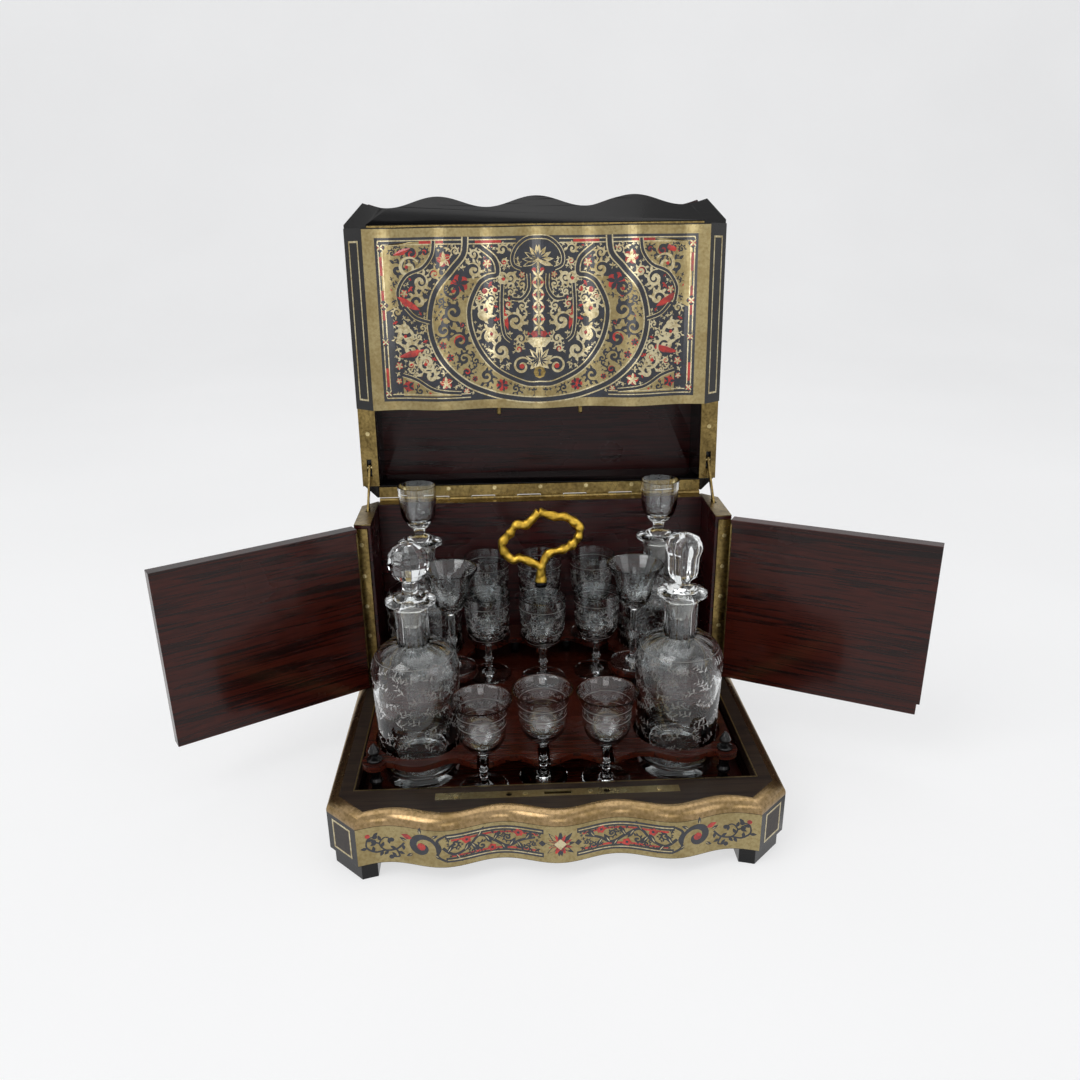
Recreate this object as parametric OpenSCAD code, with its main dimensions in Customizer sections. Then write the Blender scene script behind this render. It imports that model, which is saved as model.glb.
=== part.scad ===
/* [Plinth] */
// How far the plinth stands out past the case at each side
plinth_side_out = 8; // [4:0.5:16]
// Height of the block feet
foot_h = 14; // [10:1:20]
// Side of a block foot
foot_side = 34; // [24:1:44]
// Height of the plinth box above its feet
plinth_h = 41; // [36:1:50]
// Width of the canted front corners of the plinth
plinth_cant = 24; // [18:1:30]
// Size of the quarter-round brass moulding
moulding = 9; // [6:0.5:12]
// Thickness of the plinth's floor board
floor_t = 8; // [5:1:12]
// Depth of the well below the ledge
well_depth = 23; // [18:1:26]

/* [Case] */
// Height of the doors, posts and back panel above the ledge
case_h = 151; // [146:1:160]
// Thickness of the doors and of the back panel
wall_t = 11; // [9:0.5:14]
// Thickness of the fixed corner posts
post_t = 14; // [12:0.5:18]
// Depth of the fixed corner posts, front to back
post_d = 65.5; // [55:0.5:75]
// Width of the canted back corners
back_cant = 12.5; // [8:0.5:15]
// Angle that the left door stands open
left_door_open = 58; // [0:1:100]
// Angle that the right door stands open
right_door_open = 62; // [0:1:100]
// Notch at the lower front corner of the right door
door_notch = 2.5; // [0:0.5:4]
// Running gap between closed panels
panel_gap = 1; // [0.6:0.1:1.6]

/* [Lid and flap] */
// Height of the lid, rim to top
lid_h = 58; // [54:1:68]
// Thickness of the lid's top board
lid_top_t = 10; // [7:0.5:14]
// Width of the lid's side rails
lid_rail = 15; // [12:0.5:20]
// Width of the lid's front rail
lid_front_rail_w = 30; // [26:1:40]
// Overhang of the lid's top board
lid_lip = 2; // [0:0.5:4]
// Angle of the open lid past level
lid_open = 93.5; // [90:0.5:100]
// Thickness of the falling front flap at its corners
flap_t = 17.5; // [15:0.5:22]
// Width of the canted strips of the flap and lid
flap_cant = 17; // [12:0.5:20]
// Depth of the wave on the front faces
wave = 4.3; // [0:0.1:6]
// Distance from the lid's hinge to the pivots of the stays
stay_pivot = 30; // [26:1:36]
// Length of a stay from its pivot to its tip
stay_len = 46; // [44:1:50]
// Height of the keyhole above the flap's lower edge
keyhole_z = 31; // [24:1:40]

/* [Hinges] */
// Radius of the hinge knuckles
knuckle_r = 2; // [1.6:0.1:2.6]
// Radius of the hinge pins
pin_r = 1; // [0.7:0.1:1.2]
// Thickness of the hinge leaves
leaf_t = 1; // [0.6:0.1:1.4]
// Length of one knuckle of the lid's hinge
lid_knuckle = 20; // [12:1:30]
// Length of one knuckle of the doors' hinges
door_knuckle = 15; // [10:1:24]
// Radius of the hinge screws' heads
screw_r = 1.8; // [1.2:0.1:2.4]

/* [Stand] */
// Width of the stand's boards
stand_w = 283; // [278:1:288]
// Depth of the stand's base board
stand_d = 216; // [212:1:220]
// Room between the stand and each side of the well
stand_side_gap = 8.5; // [7:0.5:12]
// Room between the stand and the front of the well
stand_front_gap = 1.2; // [1:0.1:4]
// Room between the stand and the back panel
stand_back_gap = 3.8; // [2:0.2:8]
// Thickness of the stand's base board
base_t = 6; // [4:0.5:8]
// Height of the gallery's top above the base board's top
gallery_h = 31; // [28:1:36]
// Thickness of the gallery and of the raised shelf
board_t = 5; // [3:0.5:6]
// Height of the raised shelf's top above the gallery's top
shelf_h = 18; // [16:1:22]
// Distance that the stand lies left of the middle
stand_shift = 3.5; // [0:0.5:5]
// Radius of the turned columns
column_r = 4.5; // [3:0.5:6]
// Height of the finials above the gallery
finial_h = 15; // [10:1:20]
// Height of the wooden handle post above the shelf
handle_post_h = 63; // [55:1:70]
// Radius of the branch that the handle is cast as
branch_r = 3.5; // [2.5:0.1:4]

/* [Decanters] */
// Outer radius of a decanter's body
decanter_r = 33.6; // [30:0.1:34]
// Height of a decanter over its lip
decanter_h = 149; // [140:1:155]
// Height of the straight part of the body
decanter_wall_h = 91; // [84:1:98]
// Outer radius of a decanter's neck
neck_r = 12.5; // [11:0.5:14]
// Radius of a decanter's base
decanter_foot_r = 30.6; // [27:0.1:31]
// Radius of the bore of the neck
neck_bore_r = 8.7; // [7:0.1:10]
// Radius of the flat lip
lip_r = 19; // [17:0.5:21]
// Thickness of the decanter's glass
decanter_wall = 2.4; // [1.6:0.1:3.5]
// Thickness of the decanter's base
decanter_floor = 6; // [4:0.5:9]

/* [Glasses] */
// Height of an engraved goblet
goblet_h = 78; // [72:1:82]
// Rim radius of an engraved goblet
goblet_r = 20.2; // [18:0.1:20.4]
// Height of a front coupe
coupe_h = 78; // [74:1:84]
// Height of a rear coupe
rear_coupe_h = 91; // [88:1:94]
// Rim radius of a coupe
coupe_r = 23.7; // [22:0.1:23.9]
// Radius of a glass's foot
glass_foot_r = 19.4; // [17:0.1:19.6]
// Radius of a glass's stem
stem_r = 2.8; // [2:0.1:3.5]
// Thickness of a glass's wall
glass_wall = 1.2; // [0.9:0.1:1.6]

/* [Hidden] */
eps = 0.01;
fit_gap = 0.08;
soft_gap = 0.3;
round_fn = 48;

// The case is built round the stand, and the plinth carries the case
flap_set_back = 15.5;
flap_to_well = 3;
case_w = stand_w + 2 * (stand_side_gap + panel_gap + wall_t);
plinth_w = case_w + 2 * plinth_side_out;
plinth_d = flap_set_back + flap_t + flap_to_well + stand_front_gap + stand_d + stand_back_gap + wall_t;

// The origin is on the table below the middle of the open cabinet, this far behind the plinth's middle
origin_back = 36.1;

// Plan sizes, with y from the front to the back of the plinth
back_y = plinth_d / 2;
front_y = -plinth_d / 2;
rail_w = (plinth_w - case_w) / 2 + wall_t + panel_gap;
case_hw = case_w / 2;
flap_front_y = front_y + flap_set_back;
flap_back_y = flap_front_y + flap_t;
well_hw = plinth_w / 2 - rail_w;
well_front_y = flap_back_y + flap_to_well;
back_inner_y = back_y - wall_t;

// Heights
ledge_z = foot_h + plinth_h;
moulding_z = ledge_z - moulding;
well_z = ledge_z - well_depth;
case_z = ledge_z + panel_gap;
case_top = ledge_z + case_h;
rim_z = case_top + panel_gap;
plate_t = 0.8;

// Hinge axes
lid_axis_y = back_y + knuckle_r + 0.2;
lid_axis_z = case_top + panel_gap / 2;
post_front_y = back_y - post_d;
door_axis_x = case_hw + knuckle_r + 0.2;
door_axis_y = post_front_y - panel_gap / 2;
door_rear_y = post_front_y - panel_gap;
door_front_y = flap_back_y + panel_gap;
flap_axis_y = flap_back_y + knuckle_r + 0.2;
flap_axis_z = lid_axis_z;
flap_bottom_z = case_z;
hinge_len = case_w - 2 * back_cant - 4;
flap_hinge_len = case_w - 2 * flap_cant - 4;
door_hinge_len = case_h - 8;
door_hinge_z = ledge_z + 4;

// Stays slide in slots of the posts' brass caps
stay_x = case_hw - 7;
stay_t = 1.6;
stay_w = 5;
stay_pin_r = 1.3;
slot_y = lid_axis_y - stay_pivot + 2;
slot_len = 12;
slot_w = 3.2;
stay_lean = 45;

// Lock at the middle of the flap
lock_y = flap_front_y + 8.5;
lock_hw = 22;
lock_z = 40;
lock_t = 10;
bolt_hw = 8.5;
bolt_t = 1.6;
bolt_h = 16;
bolt_travel = 6;
dowel_x = 36;
dowel_r = 1.9;
dowel_drop = 7;
strip_hw = 90;
strip_w = 8;
strip_t = 1.2;

// Levels of the stand
base_top = well_z + base_t + 0.05;
gallery_top = base_top + gallery_h;
shelf_top = gallery_top + shelf_h;
handle_z = shelf_top + handle_post_h;
lip_top = base_top + decanter_h;

// Places on the stand, from its own middle line
stand_front_y = well_front_y + stand_front_gap;
stand_back_y = stand_front_y + stand_d;
stand_hw = stand_w / 2;
front_decanter = [stand_hw - 40, stand_front_y + 49.3];
rear_decanter = [stand_hw - 37.5, stand_back_y - 40.7];
front_coupes = [[-51.5, stand_front_y + 20.3], [-5, stand_front_y + 33.3], [43.5, stand_front_y + 26.3]];
rear_coupe = [stand_hw - 64, stand_back_y - 87.7];
middle_goblets = [[-47.5, stand_back_y - 68.7], [0, stand_back_y - 78.2], [47.5, stand_back_y - 68.7]];
rear_goblets = [for (x = [-47.5, 0, 47.5]) [x, stand_back_y - 25.7]];
post_place = [0, stand_back_y - 52];
ear_place = [stand_hw - 8.5, stand_front_y + 16.3];
rear_ear_y = stand_back_y - 10.2;
ear_r = 9.5;
decanter_hole_r = decanter_r + 0.8;
stem_slot_w = 2 * stem_r + 3.4;
keyhole_back = 9;

// A straight run of a given half length carries three bulges and four hollows
function wave_y(x, half) = -wave * cos(360 * x * 7 / (4 * half));
function wave_run(half, y) = [for (i = [0:84]) let (x = half * (i / 42 - 1)) [x, y + wave_y(x, half)]];

// Outline of a box with canted corners and a wavy front
function outline(hw, y0, y1, cant_f, cant_b) = concat(
    [[-hw, y0 + cant_f]], wave_run(hw - cant_f, y0),
    [[hw, y0 + cant_f], [hw, y1 - cant_b], [hw - cant_b, y1], [-(hw - cant_b), y1], [-hw, y1 - cant_b]]);

module plinth_plan(inset = 0) {
    polygon(outline(plinth_w / 2 - inset, front_y + inset, back_y, plinth_cant - inset * 0.41, back_cant));
}

module case_plan(grow = 0) {
    polygon(outline(case_hw + grow, flap_front_y - grow, back_y, flap_cant + grow * 0.41, back_cant));
}

// Part of a plan between two depths
module cut_plan(y0, y1) {
    intersection() {
        children();
        translate([-plinth_w, y0]) square([2 * plinth_w, y1 - y0]);
    }
}

module box(x0, x1, y0, y1, z0, z1) {
    translate([x0, y0, z0]) cube([x1 - x0, y1 - y0, z1 - z0]);
}

module mirror_pair() {
    children();
    mirror([1, 0, 0]) children();
}

// Knuckles of a hinge along Z: every second one, starting at the first or the second
module knuckles(len, pitch, start) {
    count = floor(len / pitch);
    step = len / count;
    for (i = [start:2:count - 1])
        translate([0, 0, i * step + 0.15]) difference() {
            cylinder(r = knuckle_r, h = step - 0.3, $fn = round_fn);
            translate([0, 0, -1]) cylinder(r = pin_r + fit_gap, h = step + 2, $fn = round_fn);
        }
}

// Leaf of a hinge along Z: it reaches from the axis to x = width, between y = y0 and y0 + leaf_t
module hinge_leaf(len, pitch, start, width, y0) {
    count = floor(len / pitch);
    step = len / count;
    knuckles(len, pitch, start);
    translate([knuckle_r + 0.3, y0, 0]) cube([width - knuckle_r - 0.3, leaf_t, len]);
    for (i = [start:2:count - 1])
        translate([knuckle_r - 0.5, y0, i * step + 0.15]) cube([1, leaf_t, step - 0.3]);
}

// Turns a hinge that was drawn along Z so that it runs along X
module along_x(len) {
    translate([-len / 2, 0, 0]) rotate([0, 90, 0]) children();
}

module lid_place() {
    translate([0, lid_axis_y, lid_axis_z]) rotate([-lid_open, 0, 0])
        translate([0, -lid_axis_y, -lid_axis_z]) children();
}

module flap_place() {
    lid_place() translate([0, flap_axis_y, flap_axis_z]) rotate([90, 0, 0])
        translate([0, -flap_axis_y, -flap_axis_z]) children();
}

module right_door_place(angle) {
    translate([door_axis_x, door_axis_y, 0]) rotate([0, 0, angle])
        translate([-door_axis_x, -door_axis_y, 0]) children();
}

module left_door_place() {
    mirror([1, 0, 0]) right_door_place(left_door_open) children();
}

module stand_place() {
    translate([-stand_shift, 0, 0]) children();
}

module feet() {
    color([0.07, 0.05, 0.05]) mirror_pair() {
        translate([0, 0, 0]) linear_extrude(foot_h) intersection() {
            plinth_plan(3);
            translate([plinth_w / 2 - foot_side - 3, front_y - 10]) square([foot_side + 10, foot_side + 12]);
        }
        box(plinth_w / 2 - foot_side - 3, plinth_w / 2 - 3 - back_cant, back_y - 3 - foot_side, back_y - 3,
            0, foot_h);
    }
}

module plinth_front_rail() {
    color([0.55, 0.42, 0.22]) translate([0, 0, foot_h]) linear_extrude(moulding_z - foot_h)
        cut_plan(front_y - 20, well_front_y) plinth_plan();
}

module plinth_side_rails() {
    color([0.12, 0.05, 0.04]) mirror_pair()
        box(well_hw, plinth_w / 2, well_front_y, back_inner_y, foot_h, moulding_z);
}

module plinth_back_rail() {
    color([0.12, 0.05, 0.04]) difference() {
        translate([0, 0, foot_h]) linear_extrude(plinth_h) cut_plan(back_inner_y, back_y) plinth_plan();
        box(post_t - case_hw, case_hw - post_t, back_inner_y - 1, back_y + 1, moulding_z, ledge_z + 1);
    }
}

module plinth_floor() {
    color([0.2, 0.06, 0.04]) box(-well_hw, well_hw, well_front_y, back_inner_y, well_z - floor_t, well_z);
}

module ledge_frame() {
    color([0.13, 0.06, 0.05]) difference() {
        translate([0, 0, moulding_z]) linear_extrude(moulding) difference() {
            cut_plan(front_y - 20, back_inner_y) plinth_plan(moulding);
            translate([-well_hw, well_front_y]) square([2 * well_hw, back_inner_y - well_front_y + 1]);
        }
        box(-strip_hw, strip_hw, lock_y - strip_w / 2, lock_y + strip_w / 2, ledge_z - strip_t, ledge_z + 1);
        box(-bolt_hw - 1.5, bolt_hw + 1.5, lock_y - 2, lock_y + 2, ledge_z - 8.5, ledge_z);
        mirror_pair() translate([dowel_x, lock_y, ledge_z - dowel_drop - 1.5])
            cylinder(r = dowel_r + 0.6, h = 10, $fn = round_fn);
    }
}

// Quarter round in three steps round the front, cants and sides
module plinth_moulding() {
    color([0.78, 0.6, 0.25]) intersection() {
        union() {
            translate([0, 0, moulding_z]) linear_extrude(moulding * 0.45) moulding_ring(0);
            translate([0, 0, moulding_z + moulding * 0.45]) linear_extrude(moulding * 0.3)
                moulding_ring(moulding * 0.12);
            translate([0, 0, moulding_z + moulding * 0.75]) linear_extrude(moulding * 0.25)
                moulding_ring(moulding * 0.36);
        }
        box(-plinth_w, plinth_w, front_y - 20, back_inner_y, moulding_z, ledge_z);
    }
}

module moulding_ring(inset) {
    difference() {
        plinth_plan(inset);
        plinth_plan(moulding);
        translate([-plinth_w / 2 + moulding, 0]) square([plinth_w - 2 * moulding, plinth_d]);
    }
}

module lock_strip() {
    color([0.8, 0.64, 0.3]) difference() {
        box(-strip_hw, strip_hw, lock_y - strip_w / 2, lock_y + strip_w / 2, ledge_z - strip_t, ledge_z);
        box(-bolt_hw - 1.5, bolt_hw + 1.5, lock_y - 1.4, lock_y + 1.4, ledge_z - 5, ledge_z + 1);
        mirror_pair() translate([dowel_x, lock_y, ledge_z - 5])
            cylinder(r = dowel_r + 0.4, h = 10, $fn = round_fn);
    }
}

module screw_head() {
    cylinder(r = screw_r, h = 0.35, $fn = 24);
}

module case_screws() {
    color([0.7, 0.55, 0.26]) {
        for (x = [-75, -24, 24, 75]) translate([x, lock_y, ledge_z]) screw_head();
        for (i = [-3:3]) translate([i * hinge_len / 7, back_y - 7, case_top]) screw_head();
        mirror_pair() for (i = [0:4])
            translate([case_hw - wall_t / 2, post_front_y, door_hinge_z + (i + 0.5) * door_hinge_len / 5])
                rotate([90, 0, 0]) screw_head();
    }
}

module back_panel() {
    color([0.14, 0.03, 0.04]) difference() {
        box(-(case_hw - post_t), case_hw - post_t, back_inner_y, back_y, moulding_z, case_top);
        box(-hinge_len / 2 - 0.5, hinge_len / 2 + 0.5, back_inner_y + 1, back_y + 1, case_top - leaf_t, case_top + 1);
    }
}

// Fixed corner post with a pocket for the stay and a rebate for the door hinge
module post() {
    difference() {
        translate([0, 0, ledge_z]) linear_extrude(case_top - plate_t - ledge_z)
            intersection() {
                case_plan();
                translate([case_hw - post_t, post_front_y]) square([post_t + 1, post_d]);
            }
        box(stay_x - 1.8, stay_x + 1.8, slot_y - 20, slot_y + 8, case_top - stay_len - 6, case_top + 1);
        box(case_hw - wall_t - 0.5, case_hw + 1, post_front_y - 1, post_front_y + leaf_t,
            door_hinge_z - 0.3, door_hinge_z + door_hinge_len + 0.3);
        box(0, hinge_len / 2 + 0.5, back_inner_y + 1, back_y + 1, case_top - leaf_t, case_top + 1);
    }
}

module left_post() {
    color([0.14, 0.05, 0.04]) mirror([1, 0, 0]) post();
}

module right_post() {
    color([0.14, 0.05, 0.04]) post();
}

// Brass caps of the posts, each with the slot that guides a stay
module post_caps() {
    color([0.75, 0.58, 0.27]) mirror_pair() difference() {
        translate([0, 0, case_top - plate_t]) linear_extrude(plate_t) intersection() {
            case_plan();
            translate([case_hw - post_t, post_front_y]) square([post_t + 1, post_d]);
        }
        box(stay_x - slot_w / 2, stay_x + slot_w / 2, slot_y - slot_len / 2 + 1, slot_y + slot_len / 2 + 1,
            case_top - 2, case_top + 1);
        box(0, hinge_len / 2 + 0.5, back_inner_y + 1, back_y + 1, case_top - leaf_t - 1, case_top + 1);
        box(case_hw - wall_t - 0.5, case_hw + 1, post_front_y - 1, post_front_y + leaf_t,
            door_hinge_z - 0.3, door_hinge_z + door_hinge_len + 0.3);
    }
}

// The lid's hinge is drawn from its axis: the leaf's width runs towards the front
module lid_hinge_case_leaf() {
    color([0.8, 0.62, 0.28]) translate([0, lid_axis_y, lid_axis_z]) along_x(hinge_len)
        rotate([0, 0, -90]) hinge_leaf(hinge_len, lid_knuckle, 0, lid_axis_y - back_inner_y - 1.3,
            panel_gap / 2);
}

module lid_hinge_lid_leaf() {
    color([0.8, 0.62, 0.28]) lid_place() translate([0, lid_axis_y, lid_axis_z]) along_x(hinge_len)
        rotate([0, 0, -90]) hinge_leaf(hinge_len, lid_knuckle, 1, lid_axis_y - back_inner_y - 1.3,
            -panel_gap / 2 - leaf_t);
}

module door_hinge_post_leaves() {
    color([0.78, 0.6, 0.28]) mirror_pair() translate([door_axis_x, door_axis_y, door_hinge_z])
        mirror([1, 0, 0]) hinge_leaf(door_hinge_len, door_knuckle, 0, door_axis_x - case_hw + wall_t,
            panel_gap / 2);
}

module door_leaf() {
    translate([door_axis_x, door_axis_y, door_hinge_z]) mirror([1, 0, 0])
        hinge_leaf(door_hinge_len, door_knuckle, 1, door_axis_x - case_hw + wall_t, -panel_gap / 2 - leaf_t);
}

module left_door_hinge_leaf() {
    color([0.78, 0.6, 0.28]) left_door_place() door_leaf();
}

module right_door_hinge_leaf() {
    color([0.78, 0.6, 0.28]) right_door_place(right_door_open) door_leaf();
}

module hinge_pins() {
    color([0.6, 0.46, 0.2]) {
        translate([0, lid_axis_y, lid_axis_z]) along_x(hinge_len) cylinder(r = pin_r, h = hinge_len, $fn = round_fn);
        mirror_pair() translate([door_axis_x, door_axis_y, door_hinge_z])
            cylinder(r = pin_r, h = door_hinge_len, $fn = round_fn);
    }
}

module door(notch) {
    difference() {
        box(case_hw - wall_t, case_hw, door_front_y, door_rear_y, case_z, case_top);
        box(case_hw - wall_t - 1, case_hw + 1, door_rear_y - leaf_t, door_rear_y + 1,
            door_hinge_z - 0.3, door_hinge_z + door_hinge_len + 0.3);
        box(case_hw - wall_t - 1, case_hw + 1, door_front_y - 1, door_front_y + notch, case_z - 1,
            case_z + 4 * notch);
    }
}

module left_door() {
    color([0.25, 0.08, 0.05]) left_door_place() door(0);
}

module right_door() {
    color([0.25, 0.08, 0.05]) right_door_place(right_door_open) door(door_notch);
}

module lid_top_board() {
    color([0.1, 0.05, 0.05]) lid_place() translate([0, 0, rim_z + lid_h - lid_top_t])
        linear_extrude(lid_top_t) case_plan(lid_lip);
}

module lid_rail_part(y0, y1, z0) {
    translate([0, 0, z0]) linear_extrude(rim_z + lid_h - lid_top_t - z0) cut_plan(y0, y1) case_plan();
}

module lid_front_rail() {
    color([0.08, 0.05, 0.06]) lid_place() difference() {
        lid_rail_part(flap_front_y - 20, flap_front_y + lid_front_rail_w, rim_z);
        box(-flap_hinge_len / 2 - 0.5, flap_hinge_len / 2 + 0.5, flap_back_y - 0.2,
            flap_axis_y + knuckle_r + 0.4, rim_z - 1, flap_axis_z + knuckle_r + 0.3);
        box(-flap_hinge_len / 2 - 0.5, flap_hinge_len / 2 + 0.5, flap_axis_y, flap_axis_y + 9,
            rim_z - 1, rim_z + leaf_t);
    }
}

module lid_side_rails() {
    color([0.1, 0.05, 0.05]) lid_place() mirror_pair() difference() {
        box(case_hw - lid_rail, case_hw, flap_front_y + lid_front_rail_w, back_inner_y, rim_z + plate_t,
            rim_z + lid_h - lid_top_t);
        stay_recess();
    }
}

module lid_back_rail() {
    color([0.1, 0.05, 0.05]) lid_place() difference() {
        lid_rail_part(back_inner_y, back_y + 1, rim_z);
        box(-hinge_len / 2 - 0.5, hinge_len / 2 + 0.5, back_inner_y + 1, back_y + 1, rim_z - 1, rim_z + leaf_t);
    }
}

// Room in the side rail for the head of a stay
module stay_recess() {
    box(stay_x - 2.2, stay_x + 2.2, lid_axis_y - stay_pivot - 8, lid_axis_y - stay_pivot + 8,
        rim_z - 1, rim_z + 6);
}

module lid_rim_plates() {
    color([0.76, 0.6, 0.28]) lid_place() mirror_pair() difference() {
        box(case_hw - lid_rail, case_hw, flap_front_y + lid_front_rail_w, back_inner_y, rim_z, rim_z + plate_t);
        stay_recess();
    }
}

module flap_hinge_lid_leaf() {
    color([0.78, 0.6, 0.28]) lid_place() translate([0, flap_axis_y, flap_axis_z]) along_x(flap_hinge_len) {
        rotate([0, 0, 90]) mirror([0, 1, 0])
            hinge_leaf(flap_hinge_len, lid_knuckle, 0, 8, -panel_gap / 2 - leaf_t);
        cylinder(r = pin_r, h = flap_hinge_len, $fn = round_fn);
    }
}

module lid_screws() {
    color([0.7, 0.55, 0.26]) lid_place() {
        for (i = [-3:3]) translate([i * hinge_len / 7, back_y - 7, rim_z]) rotate([180, 0, 0]) screw_head();
        for (y = [-60, -15, 30, 75]) mirror_pair()
            translate([case_hw - lid_rail / 2, y, rim_z]) rotate([180, 0, 0]) screw_head();
        mirror_pair() translate([stay_x - 2.2, lid_axis_y - stay_pivot, rim_z + 2.2])
            rotate([0, 90, 0]) cylinder(r = stay_pin_r, h = 4.4, $fn = round_fn);
    }
}

// The flap is drawn shut: its inner face is at flap_back_y
module flap_panel() {
    color([0.5, 0.36, 0.18]) flap_place() difference() {
        translate([0, 0, flap_bottom_z]) linear_extrude(case_top - flap_bottom_z)
            cut_plan(flap_front_y - 20, flap_back_y) case_plan();
        box(-lock_hw, lock_hw, flap_back_y - lock_t, flap_back_y + 1, flap_bottom_z - 1, flap_bottom_z + lock_z);
        mirror_pair() translate([dowel_x, lock_y, flap_bottom_z - 1])
            cylinder(r = dowel_r + fit_gap, h = 13, $fn = round_fn);
        translate([0, flap_front_y - 10, flap_bottom_z + keyhole_z]) rotate([-90, 0, 0])
            cylinder(r = 1.7, h = 20, $fn = round_fn);
        box(-0.8, 0.8, flap_front_y - 10, flap_front_y + 10, flap_bottom_z + keyhole_z - 4.5,
            flap_bottom_z + keyhole_z);
        box(-flap_hinge_len / 2 - 0.5, flap_hinge_len / 2 + 0.5, flap_back_y - leaf_t, flap_back_y + 1,
            case_top - 9, case_top + 1);
    }
}

module flap_hinge_leaf() {
    color([0.78, 0.6, 0.28]) flap_place() translate([0, flap_axis_y, flap_axis_z]) along_x(flap_hinge_len)
        hinge_leaf(flap_hinge_len, lid_knuckle, 1, 9, -knuckle_r - 0.2 - leaf_t);
    color([0.78, 0.6, 0.28]) flap_place() translate([0, flap_axis_y, flap_axis_z]) along_x(flap_hinge_len)
        flap_knuckle_webs();
}

// Short webs that join the flap's leaf to its knuckles
module flap_knuckle_webs() {
    count = floor(flap_hinge_len / lid_knuckle);
    step = flap_hinge_len / count;
    for (i = [1:2:count - 1])
        translate([0.6, -knuckle_r - 0.2 - leaf_t, i * step + 0.15]) difference() {
            cube([3.4, knuckle_r + 0.2 + leaf_t, step - 0.3]);
            translate([-0.6, knuckle_r + 0.2 + leaf_t, -1]) cylinder(r = pin_r + fit_gap + 0.1, h = step + 2, $fn = round_fn);
        }
}

module flap_lock() {
    color([0.72, 0.58, 0.3]) flap_place() difference() {
        box(-lock_hw, lock_hw, flap_back_y - lock_t, flap_back_y, flap_bottom_z, flap_bottom_z + lock_z);
        box(-bolt_hw - 0.3, bolt_hw + 0.3, lock_y - bolt_t / 2 - 0.2, lock_y + bolt_t / 2 + 0.2,
            flap_bottom_z - 1, flap_bottom_z + bolt_h + 1);
        translate([0, flap_back_y - lock_t - 1, flap_bottom_z + keyhole_z]) rotate([-90, 0, 0])
            cylinder(r = 1.7, h = 7, $fn = round_fn);
    }
}

module lock_bolt() {
    color([0.6, 0.48, 0.25]) flap_place()
        box(-bolt_hw, bolt_hw, lock_y - bolt_t / 2, lock_y + bolt_t / 2, flap_bottom_z + 0.5,
            flap_bottom_z + 0.5 + bolt_h);
}

module flap_dowels() {
    color([0.7, 0.55, 0.26]) flap_place() mirror_pair()
        translate([dowel_x, lock_y, flap_bottom_z - dowel_drop]) {
            translate([0, 0, dowel_r]) cylinder(r = dowel_r, h = 12 + dowel_drop - dowel_r, $fn = round_fn);
            translate([0, 0, dowel_r]) sphere(r = dowel_r, $fn = round_fn);
        }
}

// A flat stay hangs from its pivot in the lid and leans forward into the slot of the post's cap
module stay() {
    pivot_r = [stay_pivot, rim_z + 2.2 - lid_axis_z];
    turn = lid_open;
    py = -pivot_r[0] * cos(turn) + pivot_r[1] * sin(turn);
    pz = pivot_r[0] * sin(turn) + pivot_r[1] * cos(turn);
    translate([stay_x, lid_axis_y + py, lid_axis_z + pz]) rotate([-stay_lean, 0, 0]) difference() {
        union() {
            translate([-stay_t / 2, 0, 0]) rotate([0, 90, 0]) cylinder(r = 3.2, h = stay_t, $fn = round_fn);
            box(-stay_t / 2, stay_t / 2, -stay_w / 2, stay_w / 2, -stay_len, 0);
        }
        translate([-stay_t, 0, 0]) rotate([0, 90, 0]) cylinder(r = stay_pin_r + fit_gap, h = 2 * stay_t, $fn = round_fn);
    }
}

module left_stay() {
    color([0.8, 0.64, 0.3]) mirror([1, 0, 0]) stay();
}

module right_stay() {
    color([0.8, 0.64, 0.3]) stay();
}

module stand_base() {
    hw = stand_hw;
    r = 12;
    color([0.16, 0.05, 0.04]) stand_place() translate([0, 0, well_z + 0.05]) linear_extrude(base_t) union() {
        translate([-hw, stand_front_y + r]) square([2 * hw, stand_d - 2 * r]);
        translate([-hw + r, stand_front_y]) square([2 * (hw - r), stand_d]);
        for (x = [-hw + r, hw - r], y = [stand_front_y + r, stand_front_y + stand_d - r])
            translate([x, y]) circle(r = r, $fn = round_fn);
    }
}

// Front edge of the gallery: a lobe at each stem slot and a wider one before each decanter
function gallery_edge(x) = abs(x) < 72
    ? stand_front_y + 11.3 - 5 * cos(360 * (x + 4) / 48)
    : stand_front_y + 10.8 - 5.5 * cos(180 * (abs(x) - front_decanter[0]) / 32);

function ear_arc(side) = [for (a = [200:10:410])
    [side * (ear_place[0] + ear_r * cos(a)), ear_place[1] + ear_r * sin(a)]];

module gallery_plan() {
    hw = stand_hw;
    back = stand_back_y;
    edge_hw = front_decanter[0] + 17.5;
    polygon(concat([for (i = [-35:35]) let (x = edge_hw * i / 35) [x, gallery_edge(x)]], ear_arc(1),
        [[hw, ear_place[1] + 13], [hw, back - 10], [hw - 10, back], [-(hw - 10), back], [-hw, back - 10],
         [-hw, ear_place[1] + 13]], reverse_list(ear_arc(-1))));
}

module decanter_holes() {
    mirror_pair() {
        translate(front_decanter) circle(r = decanter_hole_r, $fn = 64);
        translate(rear_decanter) circle(r = decanter_hole_r, $fn = 64);
    }
}

// A round hole behind each front coupe lets its stem into a slot that opens forward
module stem_slots() {
    for (p = front_coupes) {
        translate([p[0] - stem_slot_w / 2, p[1] - 40]) square([stem_slot_w, 40]);
        translate(p) circle(r = stem_slot_w / 2, $fn = 32);
        translate([p[0], p[1] + keyhole_back]) circle(r = 9.5, $fn = 32);
    }
}

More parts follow.
